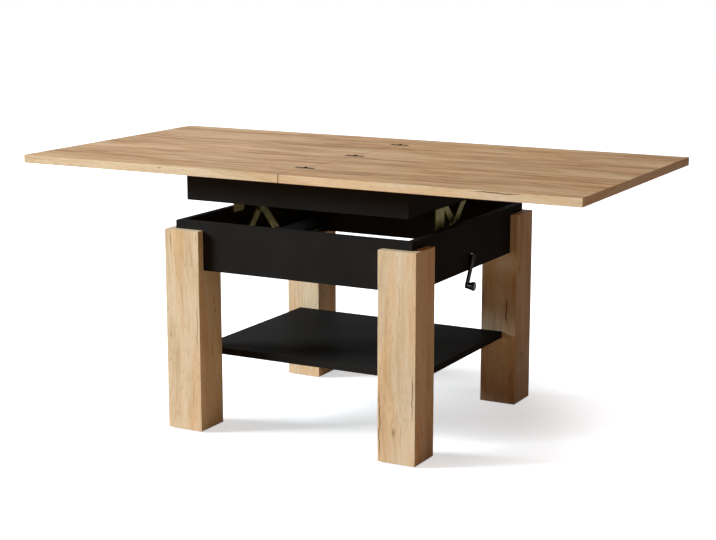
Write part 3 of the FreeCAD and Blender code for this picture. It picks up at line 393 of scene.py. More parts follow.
# %% Oak colours
OAK_TOP = ((0.0, (0.25, 0.12, 0.048)), (0.28, (0.415, 0.24, 0.108)), (0.54, (0.57, 0.375, 0.195)),
           (1.0, (0.72, 0.53, 0.32)))
OAK_PALE = ((0.0, (0.44, 0.345, 0.22)), (0.28, (0.575, 0.485, 0.33)), (0.54, (0.64, 0.562, 0.405)),
            (1.0, (0.71, 0.655, 0.51)))
TINTS = {"Blush": (1.0, 0.90, 0.79, 1.0), "Streaks": (0.66, 0.55, 0.45, 1.0),
         "Pores": (0.56, 0.47, 0.38, 1.0)}
CRACK_COLOUR = (0.085, 0.045, 0.022, 1.0)
HEART_COLOUR = (0.17, 0.088, 0.042, 1.0)
# painted shadow: the colour of the dark line painted in the seam between the leaves
JOINT_SHADOW_COLOUR = (0.03, 0.022, 0.016, 1.0)
print("oak from", OAK_TOP[0][1], "to", OAK_PALE[-1][1])

# %% [markdown]
# ## Upright grain and ironed edges
# Turning a board in the scene would move it, so the legs turn only the coordinates that their finish
# reads. A leaf's edge faces sideways, and the surface's own direction says so. That is enough to lay
# the paler strip there. The shadow in the joint is painted as a dark line on the long edges only,
# because the end faces come into view as plain strips when one leaf folds over the other.

# %% Upright grain and the edge strip
EDGE_TURN = (0.4, 0.75)
JOINT_SHADOW_LINE = (0.0012, 0.0007)


def stand_up(tree, vector):
    """Turns a vector so that the grain, which runs along X, runs upwards."""
    parts = add(tree, "SeparateXYZ", {0: vector}).outputs
    return add(tree, "CombineXYZ", {0: parts["Z"], 1: parts["X"], 2: parts["Y"]}).outputs[0]


def edge_colour(tree, figure, colour, position, normal, joint):
    """The paler strip on a leaf's edges, with a painted shadow line on the long ones where two leaves meet.
    """
    facing = add(tree, "SeparateXYZ", {0: normal}).outputs
    strip = spread(tree, sums(tree, "ABSOLUTE", facing["Z"]), *reversed(EDGE_TURN))
    long_edge = spread(tree, sums(tree, "ABSOLUTE", facing["Y"]), *EDGE_TURN)
    colour = blend_colours(tree, strip, colour, ramp(tree, figure["Tone"], OAK_PALE))
    # painted shadow: a dark line on the long edges, a few tenths of a millimetre either side of the joint
    along = sums(tree, "SUBTRACT", add(tree, "SeparateXYZ", {0: position}).outputs["X"], joint)
    line = spread(tree, sums(tree, "ABSOLUTE", along), *JOINT_SHADOW_LINE)
    return blend_colours(tree, sums(tree, "MULTIPLY", line, long_edge), colour, JOINT_SHADOW_COLOUR)


print("the dark line ends", JOINT_SHADOW_LINE[0] / MILLIMETRE, "mm from the joint")

# %% [markdown]
# ## Stain, knots and cracks
# A tint multiplies the colour below it, as a stain does, where a plain mix would veil the grain. Knot
# hearts and cracks cover the grain, so they are mixed over it, the cracks almost at full strength.

# %% Oak stain and marks
HEART_STRENGTH = 0.6
CRACK_STRENGTH = 0.9
CRACK_DEPTH = -2.0


def stain(tree, figure, colour):
    """Multiplies a colour by the tints, each one where the figure says."""
    for label, tint in TINTS.items():
        stained = blend_colours(tree, 1.0, colour, tint, "MULTIPLY")
        colour = blend_colours(tree, figure[label], colour, stained)
    return colour


def grow_knots(tree, vector, knots):
    """Parts the grain at each knot, and gives the parted grain and the masks of the hearts."""
    hearts = []
    for centre, reach in knots:
        knot = use(tree, knot_group, Vector=vector, Centre=centre, Reach=reach)
        vector = knot["Vector"]
        hearts.append(knot["Heart"])
    return vector, hearts


def open_cracks(tree, vector, cracks, colour, height):
    """Draws cracks over a colour and presses them into a height."""
    for centre, half_length, half_width in cracks:
        sizes = {"Centre": centre, "Half length": half_length, "Half width": half_width}
        crack = use(tree, crack_group, Vector=vector, **sizes)["Mask"]
        colour = blend_colours(tree, sums(tree, "MULTIPLY", crack, CRACK_STRENGTH), colour, CRACK_COLOUR)
        height = sums(tree, "MULTIPLY_ADD", crack, CRACK_DEPTH, height)
    return colour, height


print("oak is stained by", ", ".join(TINTS))

# %% [markdown]
# ## The oak finish
# One function puts the groups together in the order of nature: the grain's direction, the knots that
# part it, the figure, the stains, and at last what opened as the wood dried. A matt lacquer lies over
# it all, so the specular level is close to nothing and the roughness follows the tone a little.

# %% Oak material
OAK_TONES = (0.1, 0.9)
OAK_ROUGH = (0.56, 0.46)
OAK_RELIEF = 0.00012
OAK_RELIEF_SHOWN = 0.6
OAK_SHINE = 0.03


def oak(name, shift, joint=None, knots=(), cracks=()):
    """Printed oak, on a leaf that ends at a joint or on a leg; marks lie along, across and into it."""
    material, tree, shader, position, normal = new_material(name)
    upright = joint is None
    if upright:
        position = stand_up(tree, position)
        normal = stand_up(tree, normal)
    grain = use(tree, grain_space, Position=position, Normal=normal)["Vector"]
    parted, hearts = grow_knots(tree, grain, knots)
    figure = use(tree, oak_figure, Vector=parted, Shift=shift)
    colour = ramp(tree, figure["Tone"], OAK_PALE if upright else OAK_TOP)
    if not upright:
        colour = edge_colour(tree, figure, colour, position, normal, joint)
    colour = stain(tree, figure, colour)
    for heart in hearts:
        colour = blend_colours(tree, sums(tree, "MULTIPLY", heart, HEART_STRENGTH), colour, HEART_COLOUR)
    colour, height = open_cracks(tree, grain, cracks, colour, figure["Height"])
    feed(tree, shader["Base Color"], colour)
    feed(tree, shader["Roughness"], spread(tree, figure["Tone"], *OAK_TONES, *OAK_ROUGH))
    feed(tree, shader["Normal"], bump(tree, height, OAK_RELIEF, OAK_RELIEF_SHOWN))
    shader["Specular IOR Level"].default_value = OAK_SHINE
    return material


print("oak relief", OAK_RELIEF / MILLIMETRE, "mm deep, roughness", OAK_ROUGH)

# %% [markdown]
# ## Marks on each board
# The longest cracks and the plainest knots sit where the photograph shows them, the rest where a board
# could have them. A mark is a place along the grain, across it and on the face that it belongs to, with
# its size. The faces come from the model, so a mark stays on its board.

# %% Oak leaves
LEAF_SHIFT = (0.3, 0.07, 0.0)
leaf_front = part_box("main_leaf")[0].y
leaf_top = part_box("main_leaf")[1].z
main_marks = {
    "knots": (((0.604, 0.1235, leaf_top), 0.009),),
    "cracks": (((0.59, 0.7103, leaf_front), 0.09, 0.0019), ((0.44, 0.057, leaf_top), 0.045, 0.0035),
               ((0.62, 0.118, leaf_top), 0.05, 0.003)),
}
flap_marks = {
    "knots": (((-0.356, 0.7074, leaf_front), 0.0035),),
    "cracks": (((-0.30, 0.12, leaf_top), 0.05, 0.0009), ((-0.55, -0.12, leaf_top), 0.06, 0.0009)),
}


def dress(material, *names):
    """Gives CAD nodes one material."""
    for name in names:
        mesh = nodes[name].data
        mesh.materials.clear()
        mesh.materials.append(material)
    print(material.name, "on", ", ".join(names))


dress(oak("Oak main leaf", LEAF_SHIFT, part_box("main_leaf")[0].x, **main_marks), "main_leaf")
dress(oak("Oak flap leaf", LEAF_SHIFT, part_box("flap_leaf")[1].x, **flap_marks), "flap_leaf")

# %% Oak legs
LEG_SHIFTS = {"leg_front_right": 1.7, "leg_front_left": 4.3, "leg_back_right": 6.1, "leg_back_left": 8.9}
SHIFT_ASIDE = 0.13
front_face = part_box("leg_front_right")[0].y
back_leg_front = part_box("leg_back_right")[0].y
right_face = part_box("leg_back_right")[1].x
inner_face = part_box("leg_front_left")[1].x
leg_marks = {
    "leg_front_right": {
        "knots": (((0.0833, 0.3075, front_face), 0.0065),),
        "cracks": (((0.10, 0.2688, front_face), 0.13, 0.0019), ((0.18, 0.3593, front_face), 0.085, 0.0016))},
    "leg_front_left": {
        "knots": (((0.3185, -0.2942, inner_face), 0.0045),),
        "cracks": (((0.285, -0.271, front_face), 0.085, 0.0012),)},
    "leg_back_right": {
        "knots": (((0.1358, 0.3122, right_face), 0.0045),),
        "cracks": (((0.266, 0.338, back_leg_front), 0.05, 0.0024),)},
}
for name, shift in LEG_SHIFTS.items():
    leg_shift = (shift, SHIFT_ASIDE * shift, 0.0)
    dress(oak("Oak " + name.replace("_", " "), leg_shift, **leg_marks.get(name, {})), name)

# %% [markdown]
# ## Matt black board
# The box, the upper frame and the shelf are board with a matt black film. Film pressed on a textured
# plate keeps a fine pearl, too small to see as bumps from across a room, but it spreads every
# highlight and is the reason why the panels look soft grey where light grazes them. A pure black
# would look like a hole, so the film is a very dark grey with faint clouds. The pearl is a Voronoi
# texture, whose cells lie as close as the grains of a plate, and other dark finishes will use it too.

# %% Pearl group
HAZE_PER_METRE = (9.0, 9.0, 9.0)
pearl_group, given, made = new_group(
    "Pearl", {"Vector": "Vector", "Fineness": "Float"}, {"Height": "Float", "Clouds": "Float"})
cells = {"Vector": given["Vector"], "Scale": given["Fineness"]}
grains = add(pearl_group, "TexVoronoi", cells, feature="SMOOTH_F1").outputs["Distance"]
feed(pearl_group, made["Height"], grains)
haze = noise(pearl_group, given["Vector"], HAZE_PER_METRE, detail=4.0, roughness=0.6)
feed(pearl_group, made["Clouds"], haze)
print(pearl_group.name, "group with", len(pearl_group.nodes), "nodes")

# %% Black board
FILM = ((0.3, (0.0142, 0.0148, 0.0148)), (0.7, (0.0182, 0.0190, 0.0190)))
FILM_FINENESS = 1500.0
FILM_ROUGH = (0.46, 0.56)
FILM_RELIEF = 0.00003
FILM_RELIEF_SHOWN = 0.5
FILM_SHINE = 0.0015
CLOUDS = (0.3, 0.7)
SIDES = ("right", "left", "front", "back")

black_board, tree, shader, position, _ = new_material("Black board")
pearl = use(tree, pearl_group, Vector=position, Fineness=FILM_FINENESS)
feed(tree, shader["Base Color"], ramp(tree, pearl["Clouds"], FILM))
feed(tree, shader["Roughness"], spread(tree, pearl["Clouds"], *CLOUDS, *FILM_ROUGH))
feed(tree, shader["Normal"], bump(tree, pearl["Height"], FILM_RELIEF, FILM_RELIEF_SHOWN))
shader["Specular IOR Level"].default_value = FILM_SHINE
dress(black_board, "shelf", *("apron_" + side for side in SIDES), *("upper_" + side for side in SIDES))

# %% [markdown]
# ## Metal that has been handled
# Sheet and bar come from the mill with fine lines in one direction, and plating settles in faint
# clouds. Both are the same on every steel piece here, only stronger or weaker, so one group makes
# them. The lines go to the roughness and the relief, and the clouds to the colour.

# %% Mill lines group
MILL_HAZE = (34.0, 34.0, 34.0)
mill_group, given, made = new_group(
    "Mill lines", {"Vector": "Vector", "Lines": "Vector"}, {"Height": "Float", "Clouds": "Float"})
lines = noise(mill_group, given["Vector"], given["Lines"], detail=3.0, roughness=0.65)
feed(mill_group, made["Height"], lines)
haze = noise(mill_group, given["Vector"], MILL_HAZE, detail=4.0, roughness=0.6)
feed(mill_group, made["Clouds"], haze)
print(mill_group.name, "group with", len(mill_group.nodes), "nodes")

# %% Metal finish
LINES_ALONG_X = (40.0, 2400.0, 2400.0)
LINES_ALONG_Y = (2400.0, 40.0, 2400.0)
COLOUR_STOPS = (0.32, 0.68)
LINE_ROUGHNESS = 0.12
LINE_RELIEF_SHOWN = 0.35
METAL_SHINE = 0.03


def metal(name, lines, colours, rough, relief, bare=1.0):
    """A metal with mill lines; colours and rough run from cloud to clear, bare is 1 without a film."""
    material, tree, shader, position, _ = new_material(name)
    mill = use(tree, mill_group, Vector=position, Lines=lines)
    feed(tree, shader["Base Color"], ramp(tree, mill["Clouds"], tuple(zip(COLOUR_STOPS, colours))))
    cloudy = spread(tree, mill["Clouds"], *CLOUDS, *rough)
    feed(tree, shader["Roughness"], sums(tree, "MULTIPLY_ADD", mill["Height"], LINE_ROUGHNESS, cloudy))
    feed(tree, shader["Normal"], bump(tree, mill["Height"], relief, LINE_RELIEF_SHOWN))
    shader["Metallic"].default_value = bare
    shader["Specular IOR Level"].default_value = METAL_SHINE
    return material


print("mill lines", round(1.0 / LINES_ALONG_X[1] / MILLIMETRE, 2), "mm wide")

# %% [markdown]
# ## Yellow zinc, bright zinc, bronze and aluminium
# The scissors and upper rails are zinc plated and then dipped in a chromate bath, which leaves a golden
# film with a hint of green, dull enough to count as only part metal. Their gold is painted far darker
# than real yellow zinc, as painted shade for the shade they stand in under the top. Pins, screws and
# gears keep the bright zinc. The nut and the bearing beside the gears are bronze, because bronze runs
# on steel without seizing. The guides and runners are drawn aluminium, so their lines run along the table.

# %% Metals
# painted shade: these golds are much darker than real yellow zinc, for the shade under the top
GOLD_WITH_PAINTED_SHADE = ((0.09, 0.073, 0.017), (0.145, 0.116, 0.029))
GOLD_BARE = 0.7
SILVER = ((0.47, 0.48, 0.49), (0.62, 0.63, 0.64))
BROWN_GOLD = ((0.46, 0.27, 0.10), (0.60, 0.38, 0.16))
WHITE_GREY = ((0.58, 0.585, 0.59), (0.70, 0.705, 0.71))
SHEET_RELIEF = 0.00002
FINE_RELIEF = 0.00001
yellow_zinc = metal("Yellow zinc steel", LINES_ALONG_Y, GOLD_WITH_PAINTED_SHADE, (0.44, 0.36), SHEET_RELIEF, GOLD_BARE)
bright_zinc = metal("Bright zinc steel", LINES_ALONG_X, SILVER, (0.28, 0.18), FINE_RELIEF)
bronze = metal("Bronze", LINES_ALONG_Y, BROWN_GOLD, (0.30, 0.22), FINE_RELIEF)
aluminium = metal("Drawn aluminium", LINES_ALONG_X, WHITE_GREY, (0.34, 0.26), FINE_RELIEF)
dress(yellow_zinc, "arm_a_right", "arm_a_left", "arm_b_right", "arm_b_left",
      "upper_rail_right", "upper_rail_left")
dress(bright_zinc, "arm_a_shaft", "cross_pins", "slot_pins", "upper_pivot_pins",
      "nut_trunnions", "screw_gear", "crank_gear")
dress(bronze, "nut_block", "shaft_bearing")
dress(aluminium, "guide_front", "guide_back", "runner_front", "runner_back")

# %% [markdown]
# ## Black crank, black knob, dark hinges
# The crank arm and the base's rails have powder coat, which flows out as it bakes and leaves a soft
# orange-peel. The knob, the bush and the foot glides are moulded, glossier and smoother. The hinges
# and the crank shaft are browned, a thin oxide that hardly shines. All three come from the pearl
# group at another fineness.

# %% Coated steel and plastic
DARK_STOPS = (0.35, 0.65)
LIGHTER_BY = 1.5
DARK_RELIEF_SHOWN = 0.4
PEEL_RELIEF = 0.00006
POWDER_BLACK = (0.007, 0.007, 0.007)
PLASTIC_BLACK = (0.006, 0.006, 0.006)
OXIDE_BROWN = (0.030, 0.021, 0.015)


def dark_coat(name, fineness, relief, rough, colour, shine):
    """A dark finish with a fine pearl; rough runs from cloud to clear."""
    material, tree, shader, position, _ = new_material(name)
    pearl = use(tree, pearl_group, Vector=position, Fineness=fineness)
    lighter = tuple(LIGHTER_BY * part for part in colour)
    stops = tuple(zip(DARK_STOPS, (colour, lighter)))
    feed(tree, shader["Base Color"], ramp(tree, pearl["Clouds"], stops))
    feed(tree, shader["Roughness"], spread(tree, pearl["Clouds"], *CLOUDS, *rough))
    feed(tree, shader["Normal"], bump(tree, pearl["Height"], relief, DARK_RELIEF_SHOWN))
    shader["Specular IOR Level"].default_value = shine
    return material


black_powder = dark_coat("Black powder coat", fineness=900.0, relief=PEEL_RELIEF, rough=(0.40, 0.50),
                         colour=POWDER_BLACK, shine=0.03)
black_plastic = dark_coat("Black moulded plastic", fineness=2200.0, relief=FINE_RELIEF, rough=(0.18, 0.26),
                          colour=PLASTIC_BLACK, shine=0.12)
browned_steel = dark_coat("Browned hinge steel", fineness=1800.0, relief=FINE_RELIEF, rough=(0.42, 0.5),
                          colour=OXIDE_BROWN, shine=0.004)
dress(black_powder, "crank_arm", "lower_rail_right", "lower_rail_left", "rail_brackets", "front_cross_bar",
      "rear_cross_bar")
dress(black_plastic, "crank_knob", "crank_bush", "foot_glides")
dress(browned_steel, "main_hinge_plates", "flap_hinge_plates", "hinge_pins", "crank_shaft", "knob_pin")

# %% [markdown]
# ## Beech dowels
# The dowels are beech, pale with short brown flecks, and hide in the joints until someone takes a panel
# away. The flecks are the oak's pores again, shorter and wider, and need no group of their own.

# %% Beech
BEECH = ((0.3, (0.52, 0.36, 0.22)), (0.7, (0.64, 0.47, 0.31)))
BEECH_BANDS = (8.0, 60.0, 60.0)
BEECH_ROUGH = (0.2, 0.8, 0.62, 0.5)
FLECKS = (160.0, 900.0, 900.0)
FLECK_LIMITS = (0.58, 0.68)
FLECK_COLOUR = (0.30, 0.17, 0.09, 1.0)
FLECK_STRENGTH = 0.5
FLECK_RELIEF = 0.00003
FLECK_RELIEF_SHOWN = 0.3
beech, tree, shader, position, _ = new_material("Beech dowel")
flecks = spread(tree, noise(tree, position, FLECKS, detail=1.0), *FLECK_LIMITS)
warmth = noise(tree, position, BEECH_BANDS, detail=3.0)
fleck_share = sums(tree, "MULTIPLY", flecks, FLECK_STRENGTH)
feed(tree, shader["Base Color"], blend_colours(tree, fleck_share, ramp(tree, warmth, BEECH), FLECK_COLOUR))
feed(tree, shader["Roughness"], spread(tree, warmth, *BEECH_ROUGH))
feed(tree, shader["Normal"], bump(tree, flecks, FLECK_RELIEF, FLECK_RELIEF_SHOWN))
dress(beech, "shelf_dowels", "apron_dowels", "upper_dowels")

# %% [markdown]
# ## Turned pieces
# A lathe makes a screw from a rod, one radius after another. In mesh code that is a row of circles,
# joined by bands of faces. A Screw modifier could turn an outline too, but the ends of a thread need
# points that it can't give, so the circles are laid one by one.

# %% Circles and bands
def circle(mesh, place, radius, along, sides):
    """A circle of points round the local Z axis."""
    turns = [2.0 * math.pi * step / sides for step in range(sides)]
    points = [Vector((radius * math.cos(turn), radius * math.sin(turn), along)) for turn in turns]
    return [mesh.verts.new(place @ point) for point in points]


def bridge(mesh, first, second):
    """A band of faces from one loop to the next one along the axis."""
    for step in range(len(first)):
        after = (step + 1) % len(first)
        mesh.faces.new((first[step], first[after], second[after], second[step]))


def turn_steps(mesh, place, loop, steps):
    """Carries a circle on through steps of radius and place along the axis, and closes the end."""
    for radius, along in steps:
        following = circle(mesh, place, radius, along, len(loop))
        bridge(mesh, loop, following)
        loop = following
    mesh.faces.new(loop)


print("turned pieces from", circle.__name__, "and", bridge.__name__)

# %% [markdown]
# ## Threads
# An engineering model often shows a screw as a plain rod, because the thread would only slow it down.
# Here each row of points runs round the rod as a helix at one radius. A row that reaches an end stops
# on a plain circle there, and the circle closes the thread and carries on into the next plain length
# of the rod.

# %% Thread
NEAR_END = 0.02


def thread(mesh, place, ends, pitch, starts, profile, sides):
    """A right-hand thread between two circles; the profile gives a radius for each row of a pitch."""
    low, high = ends
    root = min(profile)
    first = circle(mesh, place, root, low, sides)
    last = circle(mesh, place, root, high, sides)
    rows = len(profile)
    lead = pitch * starts
    row_step = pitch / rows
    count = math.ceil((high - low + lead) / row_step) + rows * starts
    points = {}

    def point(row, side):
        row, side = row + rows * starts * (side // sides), side % sides
        along = low - lead + row * row_step + lead * side / sides
        if along <= low + NEAR_END * pitch:
            return first[side]
        if along >= high - NEAR_END * pitch:
            return last[side]
        if (row, side) not in points:
            turn = 2.0 * math.pi * side / sides
            radius = profile[row % rows]
            local = Vector((radius * math.cos(turn), radius * math.sin(turn), along))
            points[row, side] = mesh.verts.new(place @ local)
        return points[row, side]

    for row in range(count):
        for side in range(sides):
            around = (point(row, side), point(row, side + 1), point(row + 1, side + 1), point(row + 1, side))
            corners = list(dict.fromkeys(around))
            if len(corners) > 2 and mesh.faces.get(corners) is None:
                mesh.faces.new(corners)
    return first, last


print("a row within", NEAR_END, "of a pitch from the end stops there")

# %% [markdown]
# ## From points to a piece
# A finished mesh becomes an object that stands for one node of the model and moves with the node's
# body. Edges sharper than an angle stay crisp, and the rest are shaded smooth, which is what lets a
# circle of twelve points look round.

# %% Finish a piece
CRISP_ANGLE = math.radians(32.0)


def finish_mesh(mesh, name, material, body, node):
    """Turns points and faces into a piece that stands for a CAD node and rides with its body."""
    bmesh.ops.recalc_face_normals(mesh, faces=mesh.faces)
    for face in mesh.faces:
        face.smooth = True
    for edge in mesh.edges:
        edge.smooth = edge.calc_face_angle(math.pi) < CRISP_ANGLE
    open_edges = sum(1 for edge in mesh.edges if not edge.is_manifold)
    data = bpy.data.meshes.new(name)
    mesh.to_mesh(data)
    mesh.free()
    data.materials.append(material)
    piece = bpy.data.objects.new(name, data)
    bpy.context.collection.objects.link(piece)
    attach(piece, body)
    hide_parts(node)
    print(name, len(data.polygons), "faces,", open_edges, "open edges")


print("edges under", round(math.degrees(CRISP_ANGLE)), "degrees are shaded smooth")

# %% [markdown]
# ## The lift screw
# One turn of the crank moves the nut by 8 mm. Two threads run side by side, so that each groove can
# stay small, and their flanks are steep and their crests flat, the shape for a screw that moves a load.

# %% Lift screw
SCREW_LEAD = 8.0 * MILLIMETRE
SCREW_STARTS = 2
CREST = 8.0 * MILLIMETRE
ROOT = 6.1 * MILLIMETRE
JOURNAL = 5.0 * MILLIMETRE
END_CHAMFER = 0.8 * MILLIMETRE
THREAD_ENDS = (-184.7 * MILLIMETRE, -26.0 * MILLIMETRE)
SCREW_PROFILE = (ROOT, ROOT, CREST, CREST, CREST)
SCREW_SIDES = 32

low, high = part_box("lift_screw")
axis_place = Matrix.Translation(((low.x + high.x) / 2.0, 0.0, (low.z + high.z) / 2.0))
along_y = axis_place @ Matrix.Rotation(-math.pi / 2.0, 4, "X")
mesh = bmesh.new()
pitch = SCREW_LEAD / SCREW_STARTS
loops = thread(mesh, along_y, THREAD_ENDS, pitch, SCREW_STARTS, SCREW_PROFILE, SCREW_SIDES)
for loop, shoulder, end, inward in zip(loops, THREAD_ENDS, (low.y, high.y), (1.0, -1.0)):
    steps = ((JOURNAL, shoulder), (JOURNAL, end + inward * END_CHAMFER), (JOURNAL - END_CHAMFER, end))
    turn_steps(mesh, along_y, loop, steps)
finish_mesh(mesh, "lift_screw_thread", bright_zinc, "screw", "lift_screw")

# %% [markdown]
# ## Where each screw sits
# A flat pack arrives with a bag of screws. The engineering model says where each one sits, how long it
# is and how wide its head is. So these cells take the model's plain screws apart into islands and
# measure each one along its axis, and nothing about a screw's place has to be written down twice.

# %% Islands
WELD = 0.00001


def islands(node):
    """The points of each separate solid in a CAD node."""
    mesh = bmesh.new()
    mesh.from_mesh(nodes[node].data)
    bmesh.ops.remove_doubles(mesh, verts=mesh.verts, dist=WELD)
    left, found = set(mesh.verts), []
    for seed in list(mesh.verts):
        if seed not in left:
            continue
        left.discard(seed)
        group, reached = [], [seed]
        while reached:
            vertex = reached.pop()
            group.append(vertex.co.copy())
            for edge in vertex.link_edges:
                other = edge.other_vert(vertex)
                if other in left:
                    left.discard(other)
                    reached.append(other)
        found.append(group)
    mesh.free()
    return found


print(len(islands("leg_screws")), "leg screws")

# %% Measure the plain screws
SHANK_FROM = 0.6


def measure_screw(points):
    """A screw's place with Z from the head inwards, its length, and its head and shank radius."""
    low = Vector([min(point[axis] for point in points) for axis in range(3)])
    high = Vector([max(point[axis] for point in points) for axis in range(3)])
    size = high - low
    long_axis = max(range(3), key=lambda axis: size[axis])
    middle = (low + high) / 2.0

    def radius(point):
        away = point - middle
        away[long_axis] = 0.0
        return away.length

    widest = max(points, key=radius)
    head_low = widest[long_axis] < middle[long_axis]
    head = middle.copy()
    head[long_axis] = low[long_axis] if head_low else high[long_axis]
    inward = Vector((0.0, 0.0, 0.0))
    inward[long_axis] = 1.0 if head_low else -1.0
    turn = Vector((0.0, 0.0, 1.0)).rotation_difference(inward).to_matrix().to_4x4()
    shank_from = SHANK_FROM * size[long_axis]
    shank = [point for point in points if abs(point[long_axis] - head[long_axis]) > shank_from]
    return Matrix.Translation(head) @ turn, size[long_axis], radius(widest), max(map(radius, shank))


plain = measure_screw(islands("leg_screws")[0])
print("a leg screw is", round(plain[1] / MILLIMETRE, 1), "mm long,",
      "head", round(2.0 * plain[2] / MILLIMETRE, 1), "mm")

# %% [markdown]
# ## A cross recess
# Every screw in the bag has a cross recess for the same driver. The recess is a cross of twelve points
# that narrows as it goes down. A boolean could cut it, but the flat between the cross and the round rim
# is only a face with a hole, and filling it with triangles is what a fill is good at.

# %% Recess
RECESS_WIDE = 0.62
RECESS_ARM = 0.17
RECESS_TAPER = 0.45


def cross_loop(mesh, place, reach, arm, along):
    """Twelve points round a cross."""
    corners = [(arm, arm), (arm, reach), (-arm, reach)]
    points = []
    for quarter in range(4):
        turn = Matrix.Rotation(quarter * math.pi / 2.0, 4, "Z")
        points += [turn @ Vector((x, y, along)) for x, y in corners]
    return [mesh.verts.new(place @ point) for point in points]


def loop_edges(mesh, loop):
    """The edges round a loop of points."""
    pairs = zip(loop, loop[1:] + loop[:1])
    return [mesh.edges.get(pair) or mesh.edges.new(pair) for pair in pairs]


def cut_recess(mesh, place, rim, face, depth):
    """Fills the flat inside a rim, but for a cross that goes down into the head."""
    reach, arm = RECESS_WIDE * face, RECESS_ARM * face
    mouth = cross_loop(mesh, place, reach, arm, 0.0)
    bottom = cross_loop(mesh, place, reach * RECESS_TAPER, arm * RECESS_TAPER, depth)
    edges = loop_edges(mesh, rim) + loop_edges(mesh, mouth)
    bmesh.ops.triangle_fill(mesh, edges=edges, use_beauty=True)
    bridge(mesh, mouth, bottom)
    mesh.faces.new(bottom)


print("a recess", RECESS_WIDE, "of the head wide")

# %% [markdown]
# ## One screw, set many times
# A pan head swells over the plate that it holds, and a flush head tapers into its countersink. Sizes
# are shares of the head and the shank that were measured, so one function serves every screw.

# %% Set a screw
HEAD_SIDES = 24
SHANK_SIDES = 12
RECESS_DEPTH = 0.55
FLUSH_RIM = 0.15 * MILLIMETRE
PAN_FACE = 0.7
PAN_PROFILE = ((0.88, 0.22), (0.97, 0.55), (1.0, 1.0))
NECK_WIDE = 1.05
NECK_LENGTH = 0.2 * MILLIMETRE
THREAD_PITCH = 0.9
THREAD_ROOT = 0.72
POINT_LENGTH = 1.6
TIP_WIDE = 0.12


def set_screw(mesh, place, length, head, shank, pan):
    """Adds one screw to a mesh; pan is the height of the head above the plate, or 0 for a flush one."""
    face = PAN_FACE * head if pan else head - FLUSH_RIM
    rim = circle(mesh, place, face, 0.0, HEAD_SIDES)
    cut_recess(mesh, place, rim, face, RECESS_DEPTH * head)
    if pan:
        steps = [(wide * head, high * pan) for wide, high in PAN_PROFILE] + [(NECK_WIDE * shank, pan)]
    else:
        steps = [(head, FLUSH_RIM), (NECK_WIDE * shank, head - shank)]
    turn_steps(mesh, place, rim, steps)
    ends = (steps[-1][1] + NECK_LENGTH, length - POINT_LENGTH * shank)
    profile = (THREAD_ROOT * shank, shank)
    top, bottom = thread(mesh, place, ends, THREAD_PITCH * shank, 1, profile, SHANK_SIDES)
    mesh.faces.new(top)
    turn_steps(mesh, place, bottom, [(TIP_WIDE * shank, length)])


print("heads of", HEAD_SIDES, "sides, shanks of", SHANK_SIDES)

# %% Set all screws
PAN_HEIGHT = 2.0 * MILLIMETRE
screw_rows = (
    ("leg_screws", "base", "bright_steel", bright_zinc, 0.0),
    ("bracket_screws", "base", "black_steel", black_powder, PAN_HEIGHT),
    ("upper_rail_screws", "platform", "bright_steel", bright_zinc, PAN_HEIGHT),
    ("guide_screws", "platform", "bright_steel", bright_zinc, PAN_HEIGHT),
    ("runner_screws", "sliding_leaf", "bright_steel", bright_zinc, 0.0),
    ("main_hinge_screws", "sliding_leaf", "dark_steel", browned_steel, 0.0),
    ("flap_hinge_screws", "folding_leaf", "dark_steel", browned_steel, 0.0),
)
for node, body, slot, material, pan in screw_rows:
    mesh = bmesh.new()
    for points in islands(node):
        set_screw(mesh, *measure_screw(points), pan)
    finish_mesh(mesh, "cross_" + node, material, body, node)

# %% [markdown]
# ## A white studio
# Furniture for a catalogue stands on a white sweep, lit by a large soft lamp at the front left, so
# that front faces glow and right-hand faces fall into shade. A strong lamp could burn the floor white,
# but it would burn the table too. So the floor is an ordinary pale one for the light that bounces off
# it, and only the eye, and what shiny pieces mirror, sees it lifted to white. The lift is less close
# to the table, where it would wash out the shadow.

# %% Floor
FLOOR_HALF = 12.0
floor_mesh = bpy.data.meshes.new("Floor")
corners = [(x * FLOOR_HALF, y * FLOOR_HALF, 0.0) for x, y in ((-1, -1), (1, -1), (1, 1), (-1, 1))]
floor_mesh.from_pydata(corners, [], [(0, 1, 2, 3)])
floor = bpy.data.objects.new("Floor", floor_mesh)
bpy.context.collection.objects.link(floor)
print("floor", 2.0 * FLOOR_HALF, "m wide")

# %% Floor paint
LIFT_REACH = (0.42, 0.78)
LIFT_STRENGTH = (0.60, 1.0)
LIFT_TINT = (0.965, 0.985, 1.0, 1.0)
FLOOR_SEEN = (0.84, 0.91, 0.96, 1.0)
FLOOR_BOUNCE = (0.74, 0.46, 0.27, 1.0)


def seen_by_eye(tree):
    """1 for rays from the camera and for what shines or lets light through, 0 for the light itself."""
    path = add(tree, "LightPath").outputs
    shiny = sums(tree, "MAXIMUM", path["Is Glossy Ray"], path["Is Transmission Ray"])
    return sums(tree, "MAXIMUM", path["Is Camera Ray"], shiny)


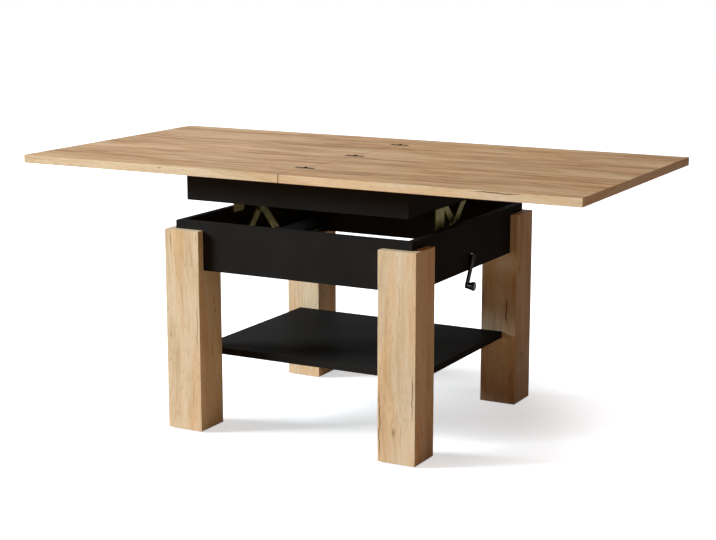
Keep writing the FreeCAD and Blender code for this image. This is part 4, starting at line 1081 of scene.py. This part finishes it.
floor_paint = bpy.data.materials.new("Studio floor")
floor_paint.use_nodes = True
tree = floor_paint.node_tree
tree.nodes.clear()
distance = vector_sums(tree, "LENGTH", add(tree, "TexCoord").outputs["Object"])
lift = spread(tree, distance, *LIFT_REACH, *LIFT_STRENGTH)
glow = add(tree, "Emission", {"Color": LIFT_TINT, "Strength": lift}).outputs[0]
pale = add(tree, "BsdfDiffuse", {"Color": FLOOR_SEEN}).outputs[0]
warm = add(tree, "BsdfDiffuse", {"Color": FLOOR_BOUNCE}).outputs[0]
lifted = add(tree, "AddShader", {0: glow, 1: pale}).outputs[0]
chosen = add(tree, "MixShader", {0: seen_by_eye(tree), 1: warm, 2: lifted}).outputs[0]
feed(tree, add(tree, "OutputMaterial").inputs["Surface"], chosen)
floor_mesh.materials.append(floor_paint)
print("the floor is white from", LIFT_REACH[1], "m on")

# %% [markdown]
# ## The room around it
# The world works like the floor. The eye sees white, and the light that reaches the table from it is
# faint and warm, as from the walls of a studio.

# %% World
WORLD_LIGHT = 0.036
WORLD_WARMTH = (1.0, 0.48, 0.25, 1.0)
WHITE = (1.0, 1.0, 1.0, 1.0)
world = bpy.data.worlds.new("Studio")
bpy.context.scene.world = world
world.use_nodes = True
tree = world.node_tree
tree.nodes.clear()
soft = add(tree, "Background", {"Color": WORLD_WARMTH, "Strength": WORLD_LIGHT}).outputs[0]
white = add(tree, "Background", {"Color": WHITE, "Strength": 1.0}).outputs[0]
mixed = add(tree, "MixShader", {0: seen_by_eye(tree), 1: soft, 2: white}).outputs[0]
feed(tree, add(tree, "OutputWorld").inputs["Surface"], mixed)
print("world light", WORLD_LIGHT)

# %% [markdown]
# ## Lamps
# An area lamp throws softer light the larger it is. The key is a large window far off to the front
# left, so its shadows fall to the right. A faint warm fill keeps the right-hand faces from going
# black, and a low panel behind lays a pale sheen on the far half of the top. The bounce off the
# floor is warm too, as under any table with oak legs.

# %% Key, fill and sheen lamps
def area_lamp(name, place, aim, size, power, colour=(1.0, 1.0, 1.0)):
    """A square soft lamp that points at a place."""
    light = bpy.data.lights.new(name, "AREA")
    light.shape = "SQUARE"
    light.size = size
    light.energy = power
    light.color = colour
    lamp = bpy.data.objects.new(name, light)
    lamp.location = place
    lamp.rotation_euler = (Vector(aim) - Vector(place)).to_track_quat("-Z", "Y").to_euler()
    bpy.context.collection.objects.link(lamp)
    print(name, power, "W,", size, "m")


area_lamp("Key", place=(-10.5, -5.6, 5.4), aim=(0.0, 0.0, 0.4), size=5.0, power=3080.0)
area_lamp("Fill", place=(4.5, -1.7, 2.7), aim=(0.3, 0.0, 0.2), size=2.6, power=18.0, colour=(1.0, 0.58, 0.36))
area_lamp("Sheen", place=(-3.6, 4.2, 1.6), aim=(-0.5, 0.0, 0.7), size=2.5, power=20.0)
